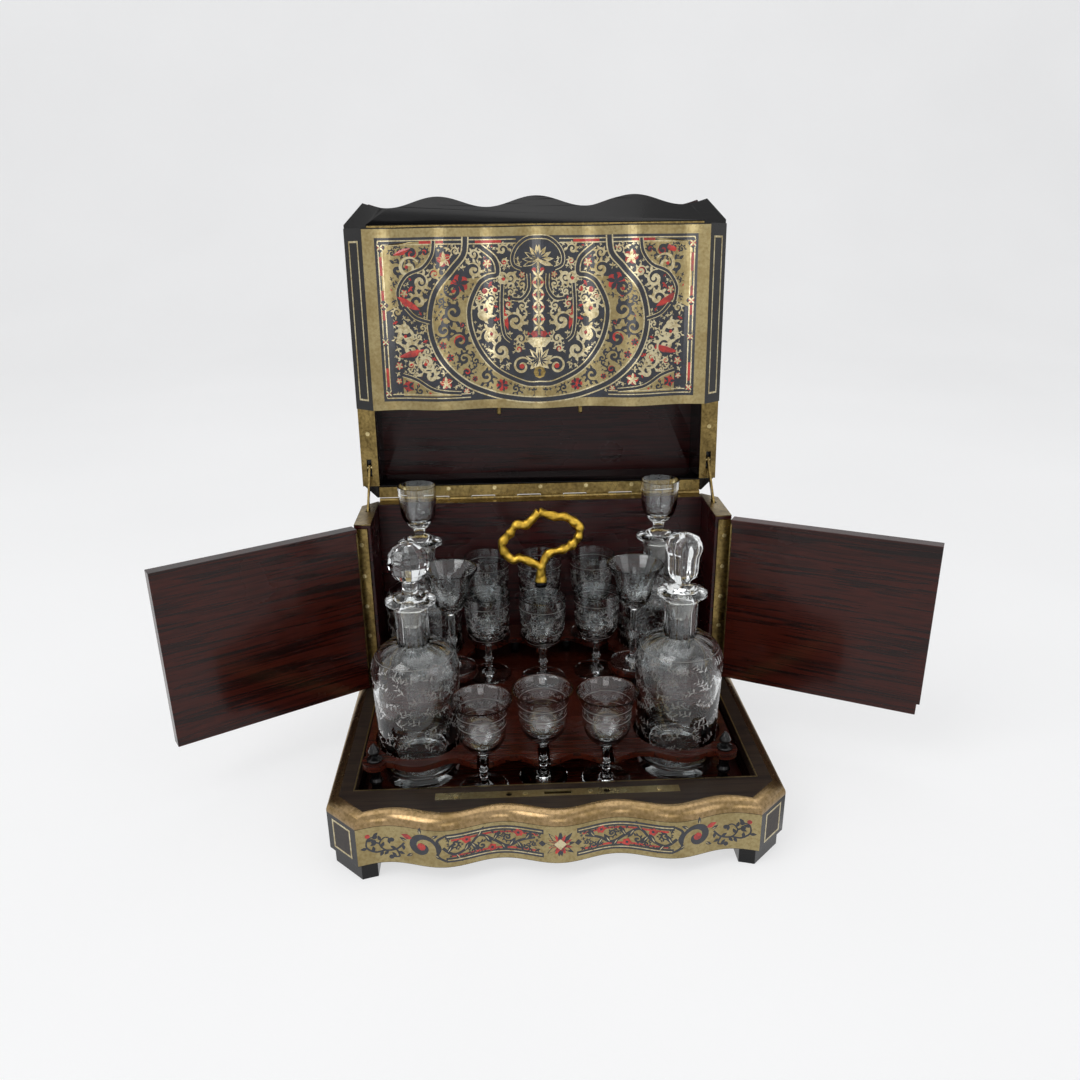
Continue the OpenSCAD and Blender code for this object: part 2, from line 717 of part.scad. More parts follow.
module stand_gallery() {
    color([0.2, 0.07, 0.05]) stand_place() translate([0, 0, gallery_top - board_t]) linear_extrude(board_t)
        difference() {
            gallery_plan();
            decanter_holes();
            stem_slots();
            mirror_pair() {
                translate(ear_place) circle(r = column_r - 1, $fn = 32);
                translate([ear_place[0], rear_ear_y]) circle(r = column_r - 1, $fn = 32);
            }
        }
}

// Scalloped front edge of the raised shelf, forward at each rear goblet
function shelf_edge(x) = rear_decanter[1] - 8 * cos(360 * x / 48);

module shelf_plan() {
    difference() {
        union() {
            polygon(concat([for (i = [0:48]) let (x = -70 + i * 140 / 48) [x, shelf_edge(x)]],
                [for (p = [[72, 32.2], [72, 4.7], [-72, 4.7], [-72, 32.2]]) [p[0], stand_back_y - p[1]]]));
            translate(post_place) circle(r = 5.8, $fn = round_fn);
            translate([-5.8, post_place[1]]) square([11.6, 12]);
            mirror_pair() {
                translate(rear_coupe) circle(r = glass_foot_r + 1.5, $fn = 64);
                translate(rear_coupe) polygon([[-19.5, 8.5], [6.5, 14.5], [-4.5, 58.5], [-15.5, 58.5]]);
            }
        }
        mirror_pair() {
            translate(rear_decanter) circle(r = decanter_hole_r, $fn = 64);
            translate(middle_goblets[2]) circle(r = glass_foot_r + 0.6, $fn = 64);
        }
    }
}

module stand_shelf() {
    color([0.3, 0.1, 0.06]) stand_place() translate([0, 0, shelf_top - board_t]) linear_extrude(board_t)
        shelf_plan();
}

shelf_posts = [[64, stand_back_y - 13.2], [rear_coupe[0] + 2.5, rear_coupe[1] - 7.5],
    [24, stand_back_y - 24.2]];

// Turned columns carry the gallery and end in finials; short ones carry the shelf
module stand_columns() {
    color([0.06, 0.05, 0.05]) stand_place() mirror_pair() {
        for (y = [ear_place[1], rear_ear_y]) translate([ear_place[0], y, base_top]) column_with_finial();
        for (p = shelf_posts) translate([p[0], p[1], gallery_top])
            cylinder(r = column_r - 0.5, h = shelf_h - board_t, $fn = 32);
    }
}

module column_with_finial() {
    h = gallery_h - board_t;
    rotate_extrude($fn = round_fn) polygon([[0, 0], [column_r + 2, 0], [column_r + 2, 2], [column_r, 3.5],
        [column_r - 1, h * 0.35], [column_r + 0.8, h * 0.5], [column_r - 1, h * 0.65], [column_r, h - 3],
        [column_r + 2, h - 1.5], [column_r + 2, h], [column_r - 1.1, h], [column_r - 1.1, h + board_t],
        [column_r + 1.5, h + board_t], [column_r + 1.5, h + board_t + 1.5], [1.8, h + board_t + 3],
        [4.2, h + board_t + 6.5], [4.4, h + board_t + 8], [3, h + board_t + 11],
        [1.2, h + board_t + finial_h - 1.5], [0, h + board_t + finial_h]]);
}

module handle_post() {
    color([0.1, 0.05, 0.05]) stand_place() translate([post_place[0], post_place[1], shelf_top])
        rotate_extrude($fn = round_fn) polygon([[0, 0], [5.4, 0], [5.4, 3], [4.2, 6], [4.2, 24], [5.2, 28],
            [4.2, 32], [4.2, handle_post_h - 6], [5.2, handle_post_h - 3], [5.2, handle_post_h],
            [0, handle_post_h]]);
}

// The gilt handle is a bent branch: left and right limbs rise from a fork and meet at the top
right_limb = [[1, 14], [6.5, 25], [19.6, 29.3], [27.4, 33.5], [33, 41], [33.5, 49], [29.7, 53.5],
    [21.8, 58.8], [13, 59.4], [-1, 64]];
left_limb = [[0, 13], [-8.3, 18.2], [-18.2, 22.3], [-23.9, 20.6], [-31, 28], [-32.6, 37], [-25.9, 45],
    [-20.4, 52.5], [-12.6, 52.5], [-7, 57], [-1, 64]];

module branch_ball(p, r) {
    translate([p[0], 0, p[1]]) sphere(r = r, $fn = 12);
}

module branch_limb(points) {
    for (i = [0:len(points) - 2]) hull() {
        branch_ball(points[i], branch_r * (1 + 0.14 * cos(180 * i)));
        branch_ball(points[i + 1], branch_r * (1 + 0.14 * cos(180 * (i + 1))));
    }
}

module branch_handle() {
    color([0.86, 0.64, 0.16]) stand_place() translate([post_place[0], post_place[1], handle_z]) union() {
        branch_limb(right_limb);
        branch_limb(left_limb);
        hull() {
            translate([0, 0, 0]) cylinder(r = 5.4, h = 2, $fn = 24);
            branch_ball([0.5, 13], branch_r * 1.15);
        }
    }
}

// Quarter of an ellipse from a wide radius at z0 to a narrow one at z1
function shoulder(r0, r1, z0, z1) = [for (i = [0:9]) let (a = i * 10)
    [r1 + (r0 - r1) * cos(a), z0 + (z1 - z0) * sin(a)]];

// The half section runs up the tapering outside, over the lip and back down the inside
module decanter() {
    neck_z = decanter_wall_h + 22;
    lip_z = decanter_h - 4;
    inner = decanter_r - decanter_wall;
    rotate_extrude($fn = 64) polygon(concat(
        [[0, 0], [decanter_foot_r - 1.5, 0], [decanter_foot_r, 1.5]],
        shoulder(decanter_r, neck_r, decanter_wall_h, neck_z),
        [[neck_r, lip_z - 3], [neck_r + 1.5, lip_z - 1], [lip_r - 1, lip_z], [lip_r, lip_z + 1.5],
         [lip_r, decanter_h - 1], [lip_r - 1, decanter_h], [neck_bore_r, decanter_h],
         [neck_bore_r, neck_z + 4]],
        reverse_list(shoulder(inner, neck_bore_r, decanter_wall_h - 1, neck_z - decanter_wall)),
        [[decanter_foot_r - decanter_wall, decanter_floor + 3],
         [decanter_foot_r - decanter_wall - 3, decanter_floor], [0, decanter_floor]]));
}

function reverse_list(v) = [for (i = [len(v) - 1:-1:0]) v[i]];

module at_decanter(side, place) {
    stand_place() translate([side * place[0], place[1], base_top]) children();
}

module glass_color() {
    color([0.75, 0.83, 0.85, 0.5]) children();
}

module decanter_front_left() { glass_color() at_decanter(-1, front_decanter) decanter(); }
module decanter_front_right() { glass_color() at_decanter(1, front_decanter) decanter(); }
module decanter_rear_left() { glass_color() at_decanter(-1, rear_decanter) decanter(); }
module decanter_rear_right() { glass_color() at_decanter(1, rear_decanter) decanter(); }

// Ground peg and collar that every stopper shares; it seats on the decanter's lip
peg_points = [[0, -22], [neck_bore_r - 2.6, -22], [neck_bore_r - 0.5, -1], [neck_bore_r - 0.5, 0.05],
    [neck_bore_r + 3.5, 0.05], [neck_bore_r + 3.5, 2]];

module stopper_ball() {
    rotate_extrude($fn = round_fn) polygon(concat(peg_points, [[5.5, 5], [5.5, 16], [0, 16]]));
    translate([0, 0, 28.5]) sphere(r = 15.5, $fn = 32);
}

module stopper_panelled() {
    rotate_extrude($fn = round_fn) polygon(concat(peg_points,
        [[5, 5], [6, 8], [10.5, 12], [11.5, 22], [12, 28], [14, 33], [14, 37], [11, 41.5], [6, 44], [0, 44.5]]));
}

// Hollow cup stopper, open at the top
module stopper_cup() {
    rotate_extrude($fn = round_fn) polygon(concat(peg_points,
        [[4.5, 6], [5, 11], [10, 15], [14, 22], [15.6, 33], [16.6, 48], [16.6, 49.5], [15.2, 49.5],
         [14.3, 33], [12.6, 23], [9, 18], [4, 15.5], [0, 15]]));
}

module at_lip(side, place) {
    at_decanter(side, place) translate([0, 0, decanter_h]) children();
}

module stopper_front_left() { glass_color() at_lip(-1, front_decanter) stopper_ball(); }
module stopper_front_right() { glass_color() at_lip(1, front_decanter) stopper_panelled(); }
module stopper_rear_left() { glass_color() at_lip(-1, rear_decanter) stopper_cup(); }
module stopper_rear_right() { glass_color() at_lip(1, rear_decanter) stopper_cup(); }

// Bowl radius along its height, from 0 at the bottom to 1 at the rim
function goblet_shape(t) = (0.88 + 0.12 * t) * (t < 0.4 ? sqrt(1 - pow(1 - t / 0.4, 2)) : 1);
function coupe_shape(t) = t < 0.45 ? 0.8 * sqrt(1 - pow(1 - t / 0.45, 2))
    : 0.8 + 0.2 * pow((t - 0.45) / 0.55, 3);
function slim_shape(t) = t < 0.45 ? 0.62 * sqrt(1 - pow(1 - t / 0.45, 2)) : 0.62 + 0.38 * pow((t - 0.45) / 0.55, 1.6);
function bowl_shape(kind, t) = kind == 0 ? goblet_shape(t) : kind == 1 ? coupe_shape(t) : slim_shape(t);

// A stemmed glass: foot, stem with a knop, and a bowl of one of three shapes
module glass(kind, h, rim, bowl_z) {
    steps = 16;
    outer = [for (i = [1:steps]) let (t = pow(i / steps, 1.4))
        [max(rim * bowl_shape(kind, t), stem_r), bowl_z + (h - bowl_z) * t]];
    inner_z = bowl_z + 3.5;
    inner = [for (i = [steps:-1:1]) let (t = pow(i / steps, 1.4))
        [rim * bowl_shape(kind, t) - glass_wall, inner_z + (h - inner_z) * t]];
    rotate_extrude($fn = round_fn) polygon(concat(
        [[0, 0], [glass_foot_r - 0.6, 0], [glass_foot_r, 0.8], [glass_foot_r - 0.6, 1.6], [7, 2.8],
         [stem_r + 1.6, 5], [stem_r, 8], [stem_r, bowl_z * 0.45], [stem_r + 1.4, bowl_z * 0.52],
         [stem_r, bowl_z * 0.6], [stem_r, bowl_z - 1]],
        outer, [for (p = inner) if (p[0] > 1.5) p], [[0, inner_z]]));
}

module goblet() { glass(0, goblet_h, goblet_r, 30); }
module front_coupe() { glass(1, coupe_h, coupe_r, 32); }
module tall_coupe() { glass(2, rear_coupe_h, coupe_r, rear_coupe_h - 40); }

module glass_at(p, z) {
    glass_color() stand_place() translate([p[0], p[1], z + 0.05]) children();
}

module coupe_front_left() { glass_at(front_coupes[0], base_top) front_coupe(); }
module coupe_front_middle() { glass_at(front_coupes[1], base_top) front_coupe(); }
module coupe_front_right() { glass_at(front_coupes[2], base_top) front_coupe(); }
module coupe_rear_left() { glass_at([-rear_coupe[0], rear_coupe[1]], shelf_top) tall_coupe(); }
module coupe_rear_right() { glass_at(rear_coupe, shelf_top) tall_coupe(); }
module goblet_middle_left() { glass_at(middle_goblets[0], gallery_top) goblet(); }
module goblet_middle_centre() { glass_at(middle_goblets[1], gallery_top) goblet(); }
module goblet_middle_right() { glass_at(middle_goblets[2], gallery_top) goblet(); }
module goblet_rear_left() { glass_at(rear_goblets[0], shelf_top) goblet(); }
module goblet_rear_centre() { glass_at(rear_goblets[1], shelf_top) goblet(); }
module goblet_rear_right() { glass_at(rear_goblets[2], shelf_top) goblet(); }

module placed() {
    translate([0, -origin_back, 0]) children();
}

placed() feet();
placed() plinth_front_rail();
placed() plinth_side_rails();
placed() plinth_back_rail();
placed() plinth_floor();
placed() ledge_frame();
placed() plinth_moulding();
placed() lock_strip();
placed() case_screws();
placed() back_panel();
placed() left_post();
placed() right_post();
placed() post_caps();
placed() lid_hinge_case_leaf();
placed() door_hinge_post_leaves();
placed() hinge_pins();
placed() lid_top_board();
placed() lid_front_rail();
placed() lid_side_rails();
placed() lid_back_rail();
placed() lid_rim_plates();
placed() lid_hinge_lid_leaf();
placed() flap_hinge_lid_leaf();
placed() lid_screws();
placed() flap_panel();
placed() flap_hinge_leaf();
placed() flap_lock();
placed() flap_dowels();
placed() lock_bolt();
placed() left_stay();
placed() right_stay();
placed() left_door();
placed() right_door();
placed() left_door_hinge_leaf();
placed() right_door_hinge_leaf();
placed() stand_base();
placed() stand_gallery();
placed() stand_shelf();
placed() stand_columns();
placed() handle_post();
placed() branch_handle();
placed() decanter_front_left();
placed() decanter_front_right();
placed() decanter_rear_left();
placed() decanter_rear_right();
placed() stopper_front_left();
placed() stopper_front_right();
placed() stopper_rear_left();
placed() stopper_rear_right();
placed() coupe_front_left();
placed() coupe_front_middle();
placed() coupe_front_right();
placed() coupe_rear_left();
placed() coupe_rear_right();
placed() goblet_middle_left();
placed() goblet_middle_centre();
placed() goblet_middle_right();
placed() goblet_rear_left();
placed() goblet_rear_centre();
placed() goblet_rear_right();
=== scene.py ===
"""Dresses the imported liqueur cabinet: boulle marquetry, polished woods, brass, gilt and engraved glass."""

import logging
import math
import random
from dataclasses import dataclass, field
from enum import Enum
from typing import Callable

import bpy
from mathutils import Matrix, Vector


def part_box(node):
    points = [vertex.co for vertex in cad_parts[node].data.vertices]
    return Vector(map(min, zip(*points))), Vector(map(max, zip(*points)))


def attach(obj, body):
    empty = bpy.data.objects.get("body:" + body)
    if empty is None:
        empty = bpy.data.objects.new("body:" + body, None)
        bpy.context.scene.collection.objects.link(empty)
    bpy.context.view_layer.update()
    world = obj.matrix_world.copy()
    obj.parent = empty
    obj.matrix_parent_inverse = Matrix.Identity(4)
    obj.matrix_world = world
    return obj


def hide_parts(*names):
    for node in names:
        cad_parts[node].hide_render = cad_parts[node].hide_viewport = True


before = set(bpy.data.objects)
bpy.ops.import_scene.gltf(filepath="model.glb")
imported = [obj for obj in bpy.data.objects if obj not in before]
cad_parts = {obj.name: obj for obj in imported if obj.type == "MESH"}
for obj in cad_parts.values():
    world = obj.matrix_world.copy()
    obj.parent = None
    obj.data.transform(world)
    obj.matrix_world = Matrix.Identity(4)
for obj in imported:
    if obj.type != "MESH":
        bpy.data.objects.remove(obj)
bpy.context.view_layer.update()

LOG = logging.getLogger("cabinet")
MM = 0.001
CRYSTAL_IOR = 1.5

# The model's origin lies this far behind the middle of the plinth, in mm
ORIGIN_BACK = 36.1

# Cosine of the angle at which the canted corners stand, and the side of each
CANT = 0.7071
CANTS = {"right": 1, "left": -1}


def spot(x: float, y: float, z: float) -> Vector:
    """Places a point that is given from the middle of the plinth.

    Args:
        x: Place across, in mm.
        y: Place in depth from the plinth's middle, in mm.
        z: Height, in mm.

    Returns:
        The point in the model's frame, in metres.
    """
    return Vector((x, y - ORIGIN_BACK, z)) * MM


class Grain(Enum):
    """Direction that a wood's figure runs in, as noise cycles per metre along X, Y and Z."""

    LEVEL = (9.0, 9.0, 260.0)
    ALONG_X = (9.0, 260.0, 260.0)


def linear(hex_code: str) -> tuple[float, float, float, float]:
    """Turns an sRGB colour code into the linear values that shaders take.

    Args:
        hex_code: Six hexadecimal digits, such as "c8a05a".

    Returns:
        Linear red, green, blue and an alpha of 1.
    """
    values = [int(hex_code[i:i + 2], 16) / 255 for i in (0, 2, 4)]
    return tuple(v / 12.92 if v <= 0.04045 else ((v + 0.055) / 1.055) ** 2.4 for v in values) + (1.0,)


def fill(tree: bpy.types.NodeTree, node: bpy.types.Node, inputs: dict) -> None:
    """Gives a shader node its inputs.

    Args:
        tree: Node tree that holds the node.
        node: The node.
        inputs: Values or output sockets, by input name or index.
    """
    for key, value in inputs.items():
        if isinstance(value, bpy.types.NodeSocket):
            tree.links.new(value, node.inputs[key])
        else:
            node.inputs[key].default_value = value


def add(tree: bpy.types.NodeTree, kind: str, inputs: dict | None = None, **settings) -> bpy.types.Node:
    """Adds one shader node.

    Args:
        tree: Node tree that gets the node.
        kind: Blender's type name of the node.
        inputs: Values or output sockets, by input name or index.
        settings: Attributes of the node itself.

    Returns:
        The new node.
    """
    node = tree.nodes.new(kind)
    for key, value in settings.items():
        setattr(node, key, value)
    fill(tree, node, inputs or {})
    return node


def ramp(tree: bpy.types.NodeTree, factor: bpy.types.NodeSocket,
         stops: list[tuple[float, str]]) -> bpy.types.NodeSocket:
    """Adds a colour ramp.

    Args:
        tree: Node tree that gets the ramp.
        factor: Socket that drives it.
        stops: Positions from 0 to 1, each with its sRGB colour code.

    Returns:
        The ramp's colour socket.
    """
    node = add(tree, "ShaderNodeValToRGB", {"Fac": factor})
    elements = node.color_ramp.elements
    while len(elements) < len(stops):
        elements.new(0.5)
    for element, (position, code) in zip(elements, stops):
        element.position = position
        element.color = linear(code)
    return node.outputs["Color"]


def spread(tree: bpy.types.NodeTree, factor: bpy.types.NodeSocket, low: float,
           high: float) -> bpy.types.NodeSocket:
    """Maps a socket's middle range to another range.

    Args:
        tree: Node tree that gets the node.
        factor: Socket with values round 0.3 to 0.7, as noise gives.
        low: Result at 0.3.
        high: Result at 0.7.

    Returns:
        The mapped value's socket.
    """
    node = add(tree, "ShaderNodeMapRange",
               {"Value": factor, "From Min": 0.3, "From Max": 0.7, "To Min": low, "To Max": high})
    return node.outputs["Result"]


@dataclass(frozen=True)
class Finish:
    """A material with its own node tree, made once and shared."""

    name: str

    def material(self) -> bpy.types.Material:
        """Finds or builds the material.

        Returns:
            The finished material.
        """
        found = bpy.data.materials.get(self.name)
        if found:
            return found
        made = bpy.data.materials.new(self.name)
        made.use_nodes = True
        tree = made.node_tree
        tree.nodes.clear()
        shader = add(tree, "ShaderNodeBsdfPrincipled")
        output = add(tree, "ShaderNodeOutputMaterial")
        tree.links.new(shader.outputs[0], output.inputs[0])
        self.build(tree, shader)
        return made

    def build(self, tree: bpy.types.NodeTree, shader: bpy.types.Node) -> None:
        """Fills the tree in; each kind of finish has its own way.

        Args:
            tree: The material's node tree.
            shader: Its Principled shader.
        """
        raise NotImplementedError

    def noise(self, tree: bpy.types.NodeTree, scale: tuple[float, float, float], detail: float = 4.0,
              distortion: float = 0.0) -> bpy.types.NodeSocket:
        """Adds noise in real units.

        Args:
            tree: The material's node tree.
            scale: Cycles per metre along X, Y and Z.
            detail: Octaves of finer noise.
            distortion: How far the noise bends its own pattern.

        Returns:
            The noise's value socket.
        """
        place = add(tree, "ShaderNodeTexCoord")
        mapped = add(tree, "ShaderNodeMapping", {"Vector": place.outputs["Object"], "Scale": scale})
        return add(tree, "ShaderNodeTexNoise", {"Vector": mapped.outputs[0], "Scale": 1.0, "Detail": detail,
                                                "Distortion": distortion}).outputs["Fac"]

    def relief(self, tree: bpy.types.NodeTree, shader: bpy.types.Node, height: bpy.types.NodeSocket,
               depth_mm: float) -> None:
        """Lets a height socket raise the surface.

        Args:
            tree: The material's node tree.
            shader: Shader that gets the bumped normal.
            height: Height from 0 to 1.
            depth_mm: Real depth of the relief.
        """
        bump = add(tree, "ShaderNodeBump", {"Height": height, "Strength": 1.0, "Distance": depth_mm * MM})
        tree.links.new(bump.outputs[0], shader.inputs["Normal"])


@dataclass(frozen=True)
class PolishedWood(Finish):
    """French-polished hardwood: a long dark figure under a clear, slightly rippled polish."""

    dark: str
    light: str
    grain: Grain
    shine: tuple[float, float] = (0.16, 0.32)
    coat: float = 0.5
    coat_shine: float = 0.09
    specular: float = 0.22
    pore_mm: float = 0.03

    def build(self, tree: bpy.types.NodeTree, shader: bpy.types.Node) -> None:
        """Builds figure, pores and polish.

        Args:
            tree: The material's node tree.
            shader: Its Principled shader.
        """
        figure = self.noise(tree, self.grain.value, 6.0, 1.4)
        broad = self.noise(tree, tuple(s * 0.28 for s in self.grain.value), 2.0, 0.8)
        both = add(tree, "ShaderNodeMath", {0: figure, 1: broad}, operation="MULTIPLY")
        streaks = [(0.12, self.dark), (0.24, self.light), (0.3, self.dark), (0.42, self.light)]
        pores = self.noise(tree, tuple(s * 6 for s in self.grain.value), 3.0)
        wear = self.noise(tree, (14.0, 14.0, 14.0), 5.0)
        fill(tree, shader, {"Base Color": ramp(tree, both.outputs[0], streaks),
                            "Roughness": spread(tree, wear, *self.shine), "Specular IOR Level": self.specular,
                            "Coat Weight": self.coat, "Coat Roughness": self.coat_shine})
        self.relief(tree, shader, pores, self.pore_mm)


@dataclass(frozen=True)
class AgedBrass(Finish):
    """Rolled or cast brass under an old, uneven tarnish with fine rubbing scratches."""

    bright: str
    tarnish: str
    shine: tuple[float, float] = (0.2, 0.42)
    relief_mm: float = 0.02

    def build(self, tree: bpy.types.NodeTree, shader: bpy.types.Node) -> None:
        """Builds tarnish clouds, small spots and scratches.

        Args:
            tree: The material's node tree.
            shader: Its Principled shader.
        """
        clouds = self.noise(tree, (38.0, 38.0, 38.0), 6.0, 0.5)
        spots = self.noise(tree, (420.0, 420.0, 420.0), 3.0)
        mixed = add(tree, "ShaderNodeMath", {0: clouds, 1: spots, 2: -0.12}, operation="MULTIPLY_ADD")
        rub = self.noise(tree, (120.0, 900.0, 900.0), 3.0)
        tones = [(0.0, self.tarnish), (0.2, self.bright)]
        fill(tree, shader, {"Base Color": ramp(tree, mixed.outputs[0], tones), "Metallic": 1.0,
                            "Roughness": spread(tree, clouds, self.shine[1], self.shine[0])})
        self.relief(tree, shader, rub, self.relief_mm)


@dataclass(frozen=True)
class ShellInlay(Finish):
    """Thin horn or shell sheet, polished level with the brass, with cloudy depth."""

    deep: str
    light: str
    shine: tuple[float, float] = (0.12, 0.26)
    coat: float = 0.4
    coat_shine: float = 0.08
    relief_mm: float = 0.01

    def build(self, tree: bpy.types.NodeTree, shader: bpy.types.Node) -> None:
        """Builds clouded colour and an even polish.

        Args:
            tree: The material's node tree.
            shader: Its Principled shader.
        """
        clouds = self.noise(tree, (150.0, 150.0, 150.0), 5.0, 0.8)
        fine = self.noise(tree, (700.0, 700.0, 700.0), 2.0)
        fill(tree, shader, {"Base Color": ramp(tree, clouds, [(0.35, self.deep), (0.65, self.light)]),
                            "Roughness": spread(tree, fine, *self.shine),
                            "Coat Weight": self.coat, "Coat Roughness": self.coat_shine})
        self.relief(tree, shader, fine, self.relief_mm)


@dataclass(frozen=True)
class BlownGlass(Finish):
    """Clear crystal, blown and cut: slight waves in the wall bend what is seen through it."""

    tint: str = "fdfffe"
    wave_mm: float = 0.05
    cool: str = "f4f8fa"

    def build(self, tree: bpy.types.NodeTree, shader: bpy.types.Node) -> None:
        """Builds clear glass with gentle waves.

        Args:
            tree: The material's node tree.
            shader: Its Principled shader.
        """
        waves = self.noise(tree, (70.0, 70.0, 70.0), 2.0)
        fill(tree, shader, {"Base Color": ramp(tree, waves, [(0.3, self.tint), (0.7, self.cool)]),
                            "Transmission Weight": 1.0, "IOR": CRYSTAL_IOR, "Roughness": 0.0})
        self.relief(tree, shader, waves, self.wave_mm)


@dataclass(frozen=True)
class GroundGlass(Finish):
    """Wheel-engraved or ground glass: a pale matt cut that catches the light."""

    pale: str = "cfcdc8"
    shade: str = "a5a29c"
    clear: float = 0.72
    matt: tuple[float, float] = (0.4, 0.65)
    grit_mm: float = 0.03

    def build(self, tree: bpy.types.NodeTree, shader: bpy.types.Node) -> None:
        """Builds a frosted, grainy cut.

        Args:
            tree: The material's node tree.
            shader: Its Principled shader.
        """
        grit = self.noise(tree, (900.0, 900.0, 900.0), 3.0)
        fill(tree, shader, {"Base Color": ramp(tree, grit, [(0.3, self.shade), (0.7, self.pale)]),
                            "Transmission Weight": self.clear, "IOR": CRYSTAL_IOR,
                            "Roughness": spread(tree, grit, *self.matt)})
        self.relief(tree, shader, grit, self.grit_mm)


# Door panels: a warm red-brown with long black streaks, deep in colour but quiet in shine
ROSEWOOD = PolishedWood("rosewood_french_polished", "150605", "42150c", Grain.LEVEL, (0.15, 0.3), 0.16)
# Inside and back of the case: the same wood in shade, nearly black with a wine-red glow
ROSEWOOD_DEEP = PolishedWood("rosewood_deep_polished", "150506", "380f0e", Grain.LEVEL, (0.2, 0.36), 0.06)
# Stand: redder, glossier boards that mirror the feet of the glasses
STAND_WOOD = PolishedWood("mahogany_stand_polished", "1c0806", "44170b", Grain.ALONG_X, (0.14, 0.3), 0.14)
# Ledge round the well: dull brown, worn by hands
LEDGE_WOOD = PolishedWood("ledge_wood_worn", "1c1512", "33281f", Grain.ALONG_X, (0.34, 0.5), 0.1)
# Outer rails, posts and feet: the black that sets off the brass
EBONISED = PolishedWood("pearwood_ebonised_polished", "040405", "0d0b0c", Grain.LEVEL, (0.16, 0.3), 0.2)
# Hinge leaves, rim plates and stays: olive-brown, long untouched
BRASS = AgedBrass("brass_rolled_tarnished", "8c784a", "58492b")
# Screw heads: small bright dots, rubbed by the screwdriver
SCREW_BRASS = AgedBrass("brass_screw_worn", "d2c294", "a08f60", (0.22, 0.34), 0.01)
# Quarter round: smooth brown-gold that runs from light to dark with every wave
BRASS_MOULDING = AgedBrass("brass_moulding_rubbed", "9c8360", "77623f", (0.2, 0.3), 0.004)
# Broad borders and grounds of the marquetry: pale, greyed sheet brass
BRASS_SHEET = AgedBrass("brass_sheet_inlaid", "a3946c", "877650", (0.24, 0.38), 0.01)
# Handle: the one strong yellow, soft in its shine
GILT = AgedBrass("gilt_bronze_chased", "d3ad45", "a98630", (0.3, 0.44), 0.1)
# Cut scrolls and stringing: the lightest metal, which flashes in the dark ground
INLAY_BRASS = AgedBrass("inlay_brass_engraved", "cfc3a0", "9c8a60", (0.2, 0.34), 0.01)
# Dark ground and scrolls: blue-black and glassy
INLAY_DARK = ShellInlay("inlay_horn_dark", "0c0e16", "1d2230")
# Flowers and small fields: scarlet foil seen through clouded shell
INLAY_RED = ShellInlay("inlay_shell_red", "8f1712", "d4301f")
# Decanters and glasses: clear, with bent lights along every edge
GLASS = BlownGlass("crystal_blown_clear")
# Engraved sprays: a grey bloom on the clear wall
ENGRAVED = GroundGlass("crystal_wheel_engraved")
# Stopper pegs: faintly misted where they seat in the neck
GROUND = GroundGlass("crystal_ground_peg", "e2e0dc", "c9c5be", 0.95, (0.12, 0.25))


def mesh_object(name: str, vertices: list, faces: list, finish: Finish,
                smooth: bool = False) -> bpy.types.Object:
    """Makes an object of loose mesh data.

    Args:
        name: Name of the object.
        vertices: Corner positions in metres.
        faces: Corner indices of each face.
        finish: Its finish.
        smooth: Whether its faces shade smoothly.

    Returns:
        The linked object.
    """
    mesh = bpy.data.meshes.new(name)
    mesh.from_pydata([tuple(v) for v in vertices], [], faces)
    mesh.materials.append(finish.material())
    made = bpy.data.objects.new(name, mesh)
    bpy.context.scene.collection.objects.link(made)
    if smooth:
        mesh.shade_smooth()
    return made


def split_edges(piece: bpy.types.Object, degrees: float) -> None:
    """Keeps a smooth piece's sharper edges crisp.

    Args:
        piece: The piece.
        degrees: Least turn of a crisp edge.
    """
    split = piece.modifiers.new("split", "EDGE_SPLIT")
    split.split_angle = math.radians(degrees)


def seen_rays(tree: bpy.types.NodeTree) -> bpy.types.NodeSocket:
    """Finds the rays that show a background: those of the camera, and those of metal and glass.

    Args:
        tree: Node tree that gets the nodes.

    Returns:
        A socket that is 1 for such a ray and 0 for the rest.
    """
    path = add(tree, "ShaderNodeLightPath")
    two = add(tree, "ShaderNodeMath", {0: path.outputs["Is Camera Ray"], 1: path.outputs["Is Glossy Ray"]},
              operation="MAXIMUM")
    return add(tree, "ShaderNodeMath", {0: two.outputs[0], 1: path.outputs["Is Transmission Ray"]},
               operation="MAXIMUM").outputs[0]


@dataclass(frozen=True)
class Camera:
    """The photograph's camera, as fitted to the object's edges."""

    place: tuple[float, float, float] = (-32.8, -681.9, 459.2)
    yaw: float = 2.2
    pitch: float = -21.3
    roll: float = -0.8
    focal_px: float = 925.3
    centre_down_px: float = 23.3
    frame_px: float = 1080.0
    sensor_mm: float = 36.0
    clip: tuple[float, float] = (0.02, 50.0)

    def build(self) -> None:
        """Places the camera and makes it the scene's own."""
        yaw, pitch, roll = (math.radians(a) for a in (self.yaw, self.pitch, self.roll))
        ahead = Vector((math.sin(yaw) * math.cos(pitch), math.cos(yaw) * math.cos(pitch), math.sin(pitch)))
        right = Vector((math.cos(yaw), -math.sin(yaw), 0.0))
        up = right.cross(ahead)
        turned_right = right * math.cos(roll) + up * math.sin(roll)
        turned_up = up * math.cos(roll) - right * math.sin(roll)
        data = bpy.data.cameras.new("camera")
        data.sensor_width = self.sensor_mm
        data.lens = self.focal_px / self.frame_px * self.sensor_mm
        data.shift_y = self.centre_down_px / self.frame_px
        data.clip_start, data.clip_end = self.clip
        made = bpy.data.objects.new("camera", data)
        bpy.context.scene.collection.objects.link(made)
        turn = Matrix((turned_right, turned_up, -ahead)).transposed().to_4x4()
        made.matrix_world = Matrix.Translation(spot(*self.place)) @ turn
        bpy.context.scene.camera = made


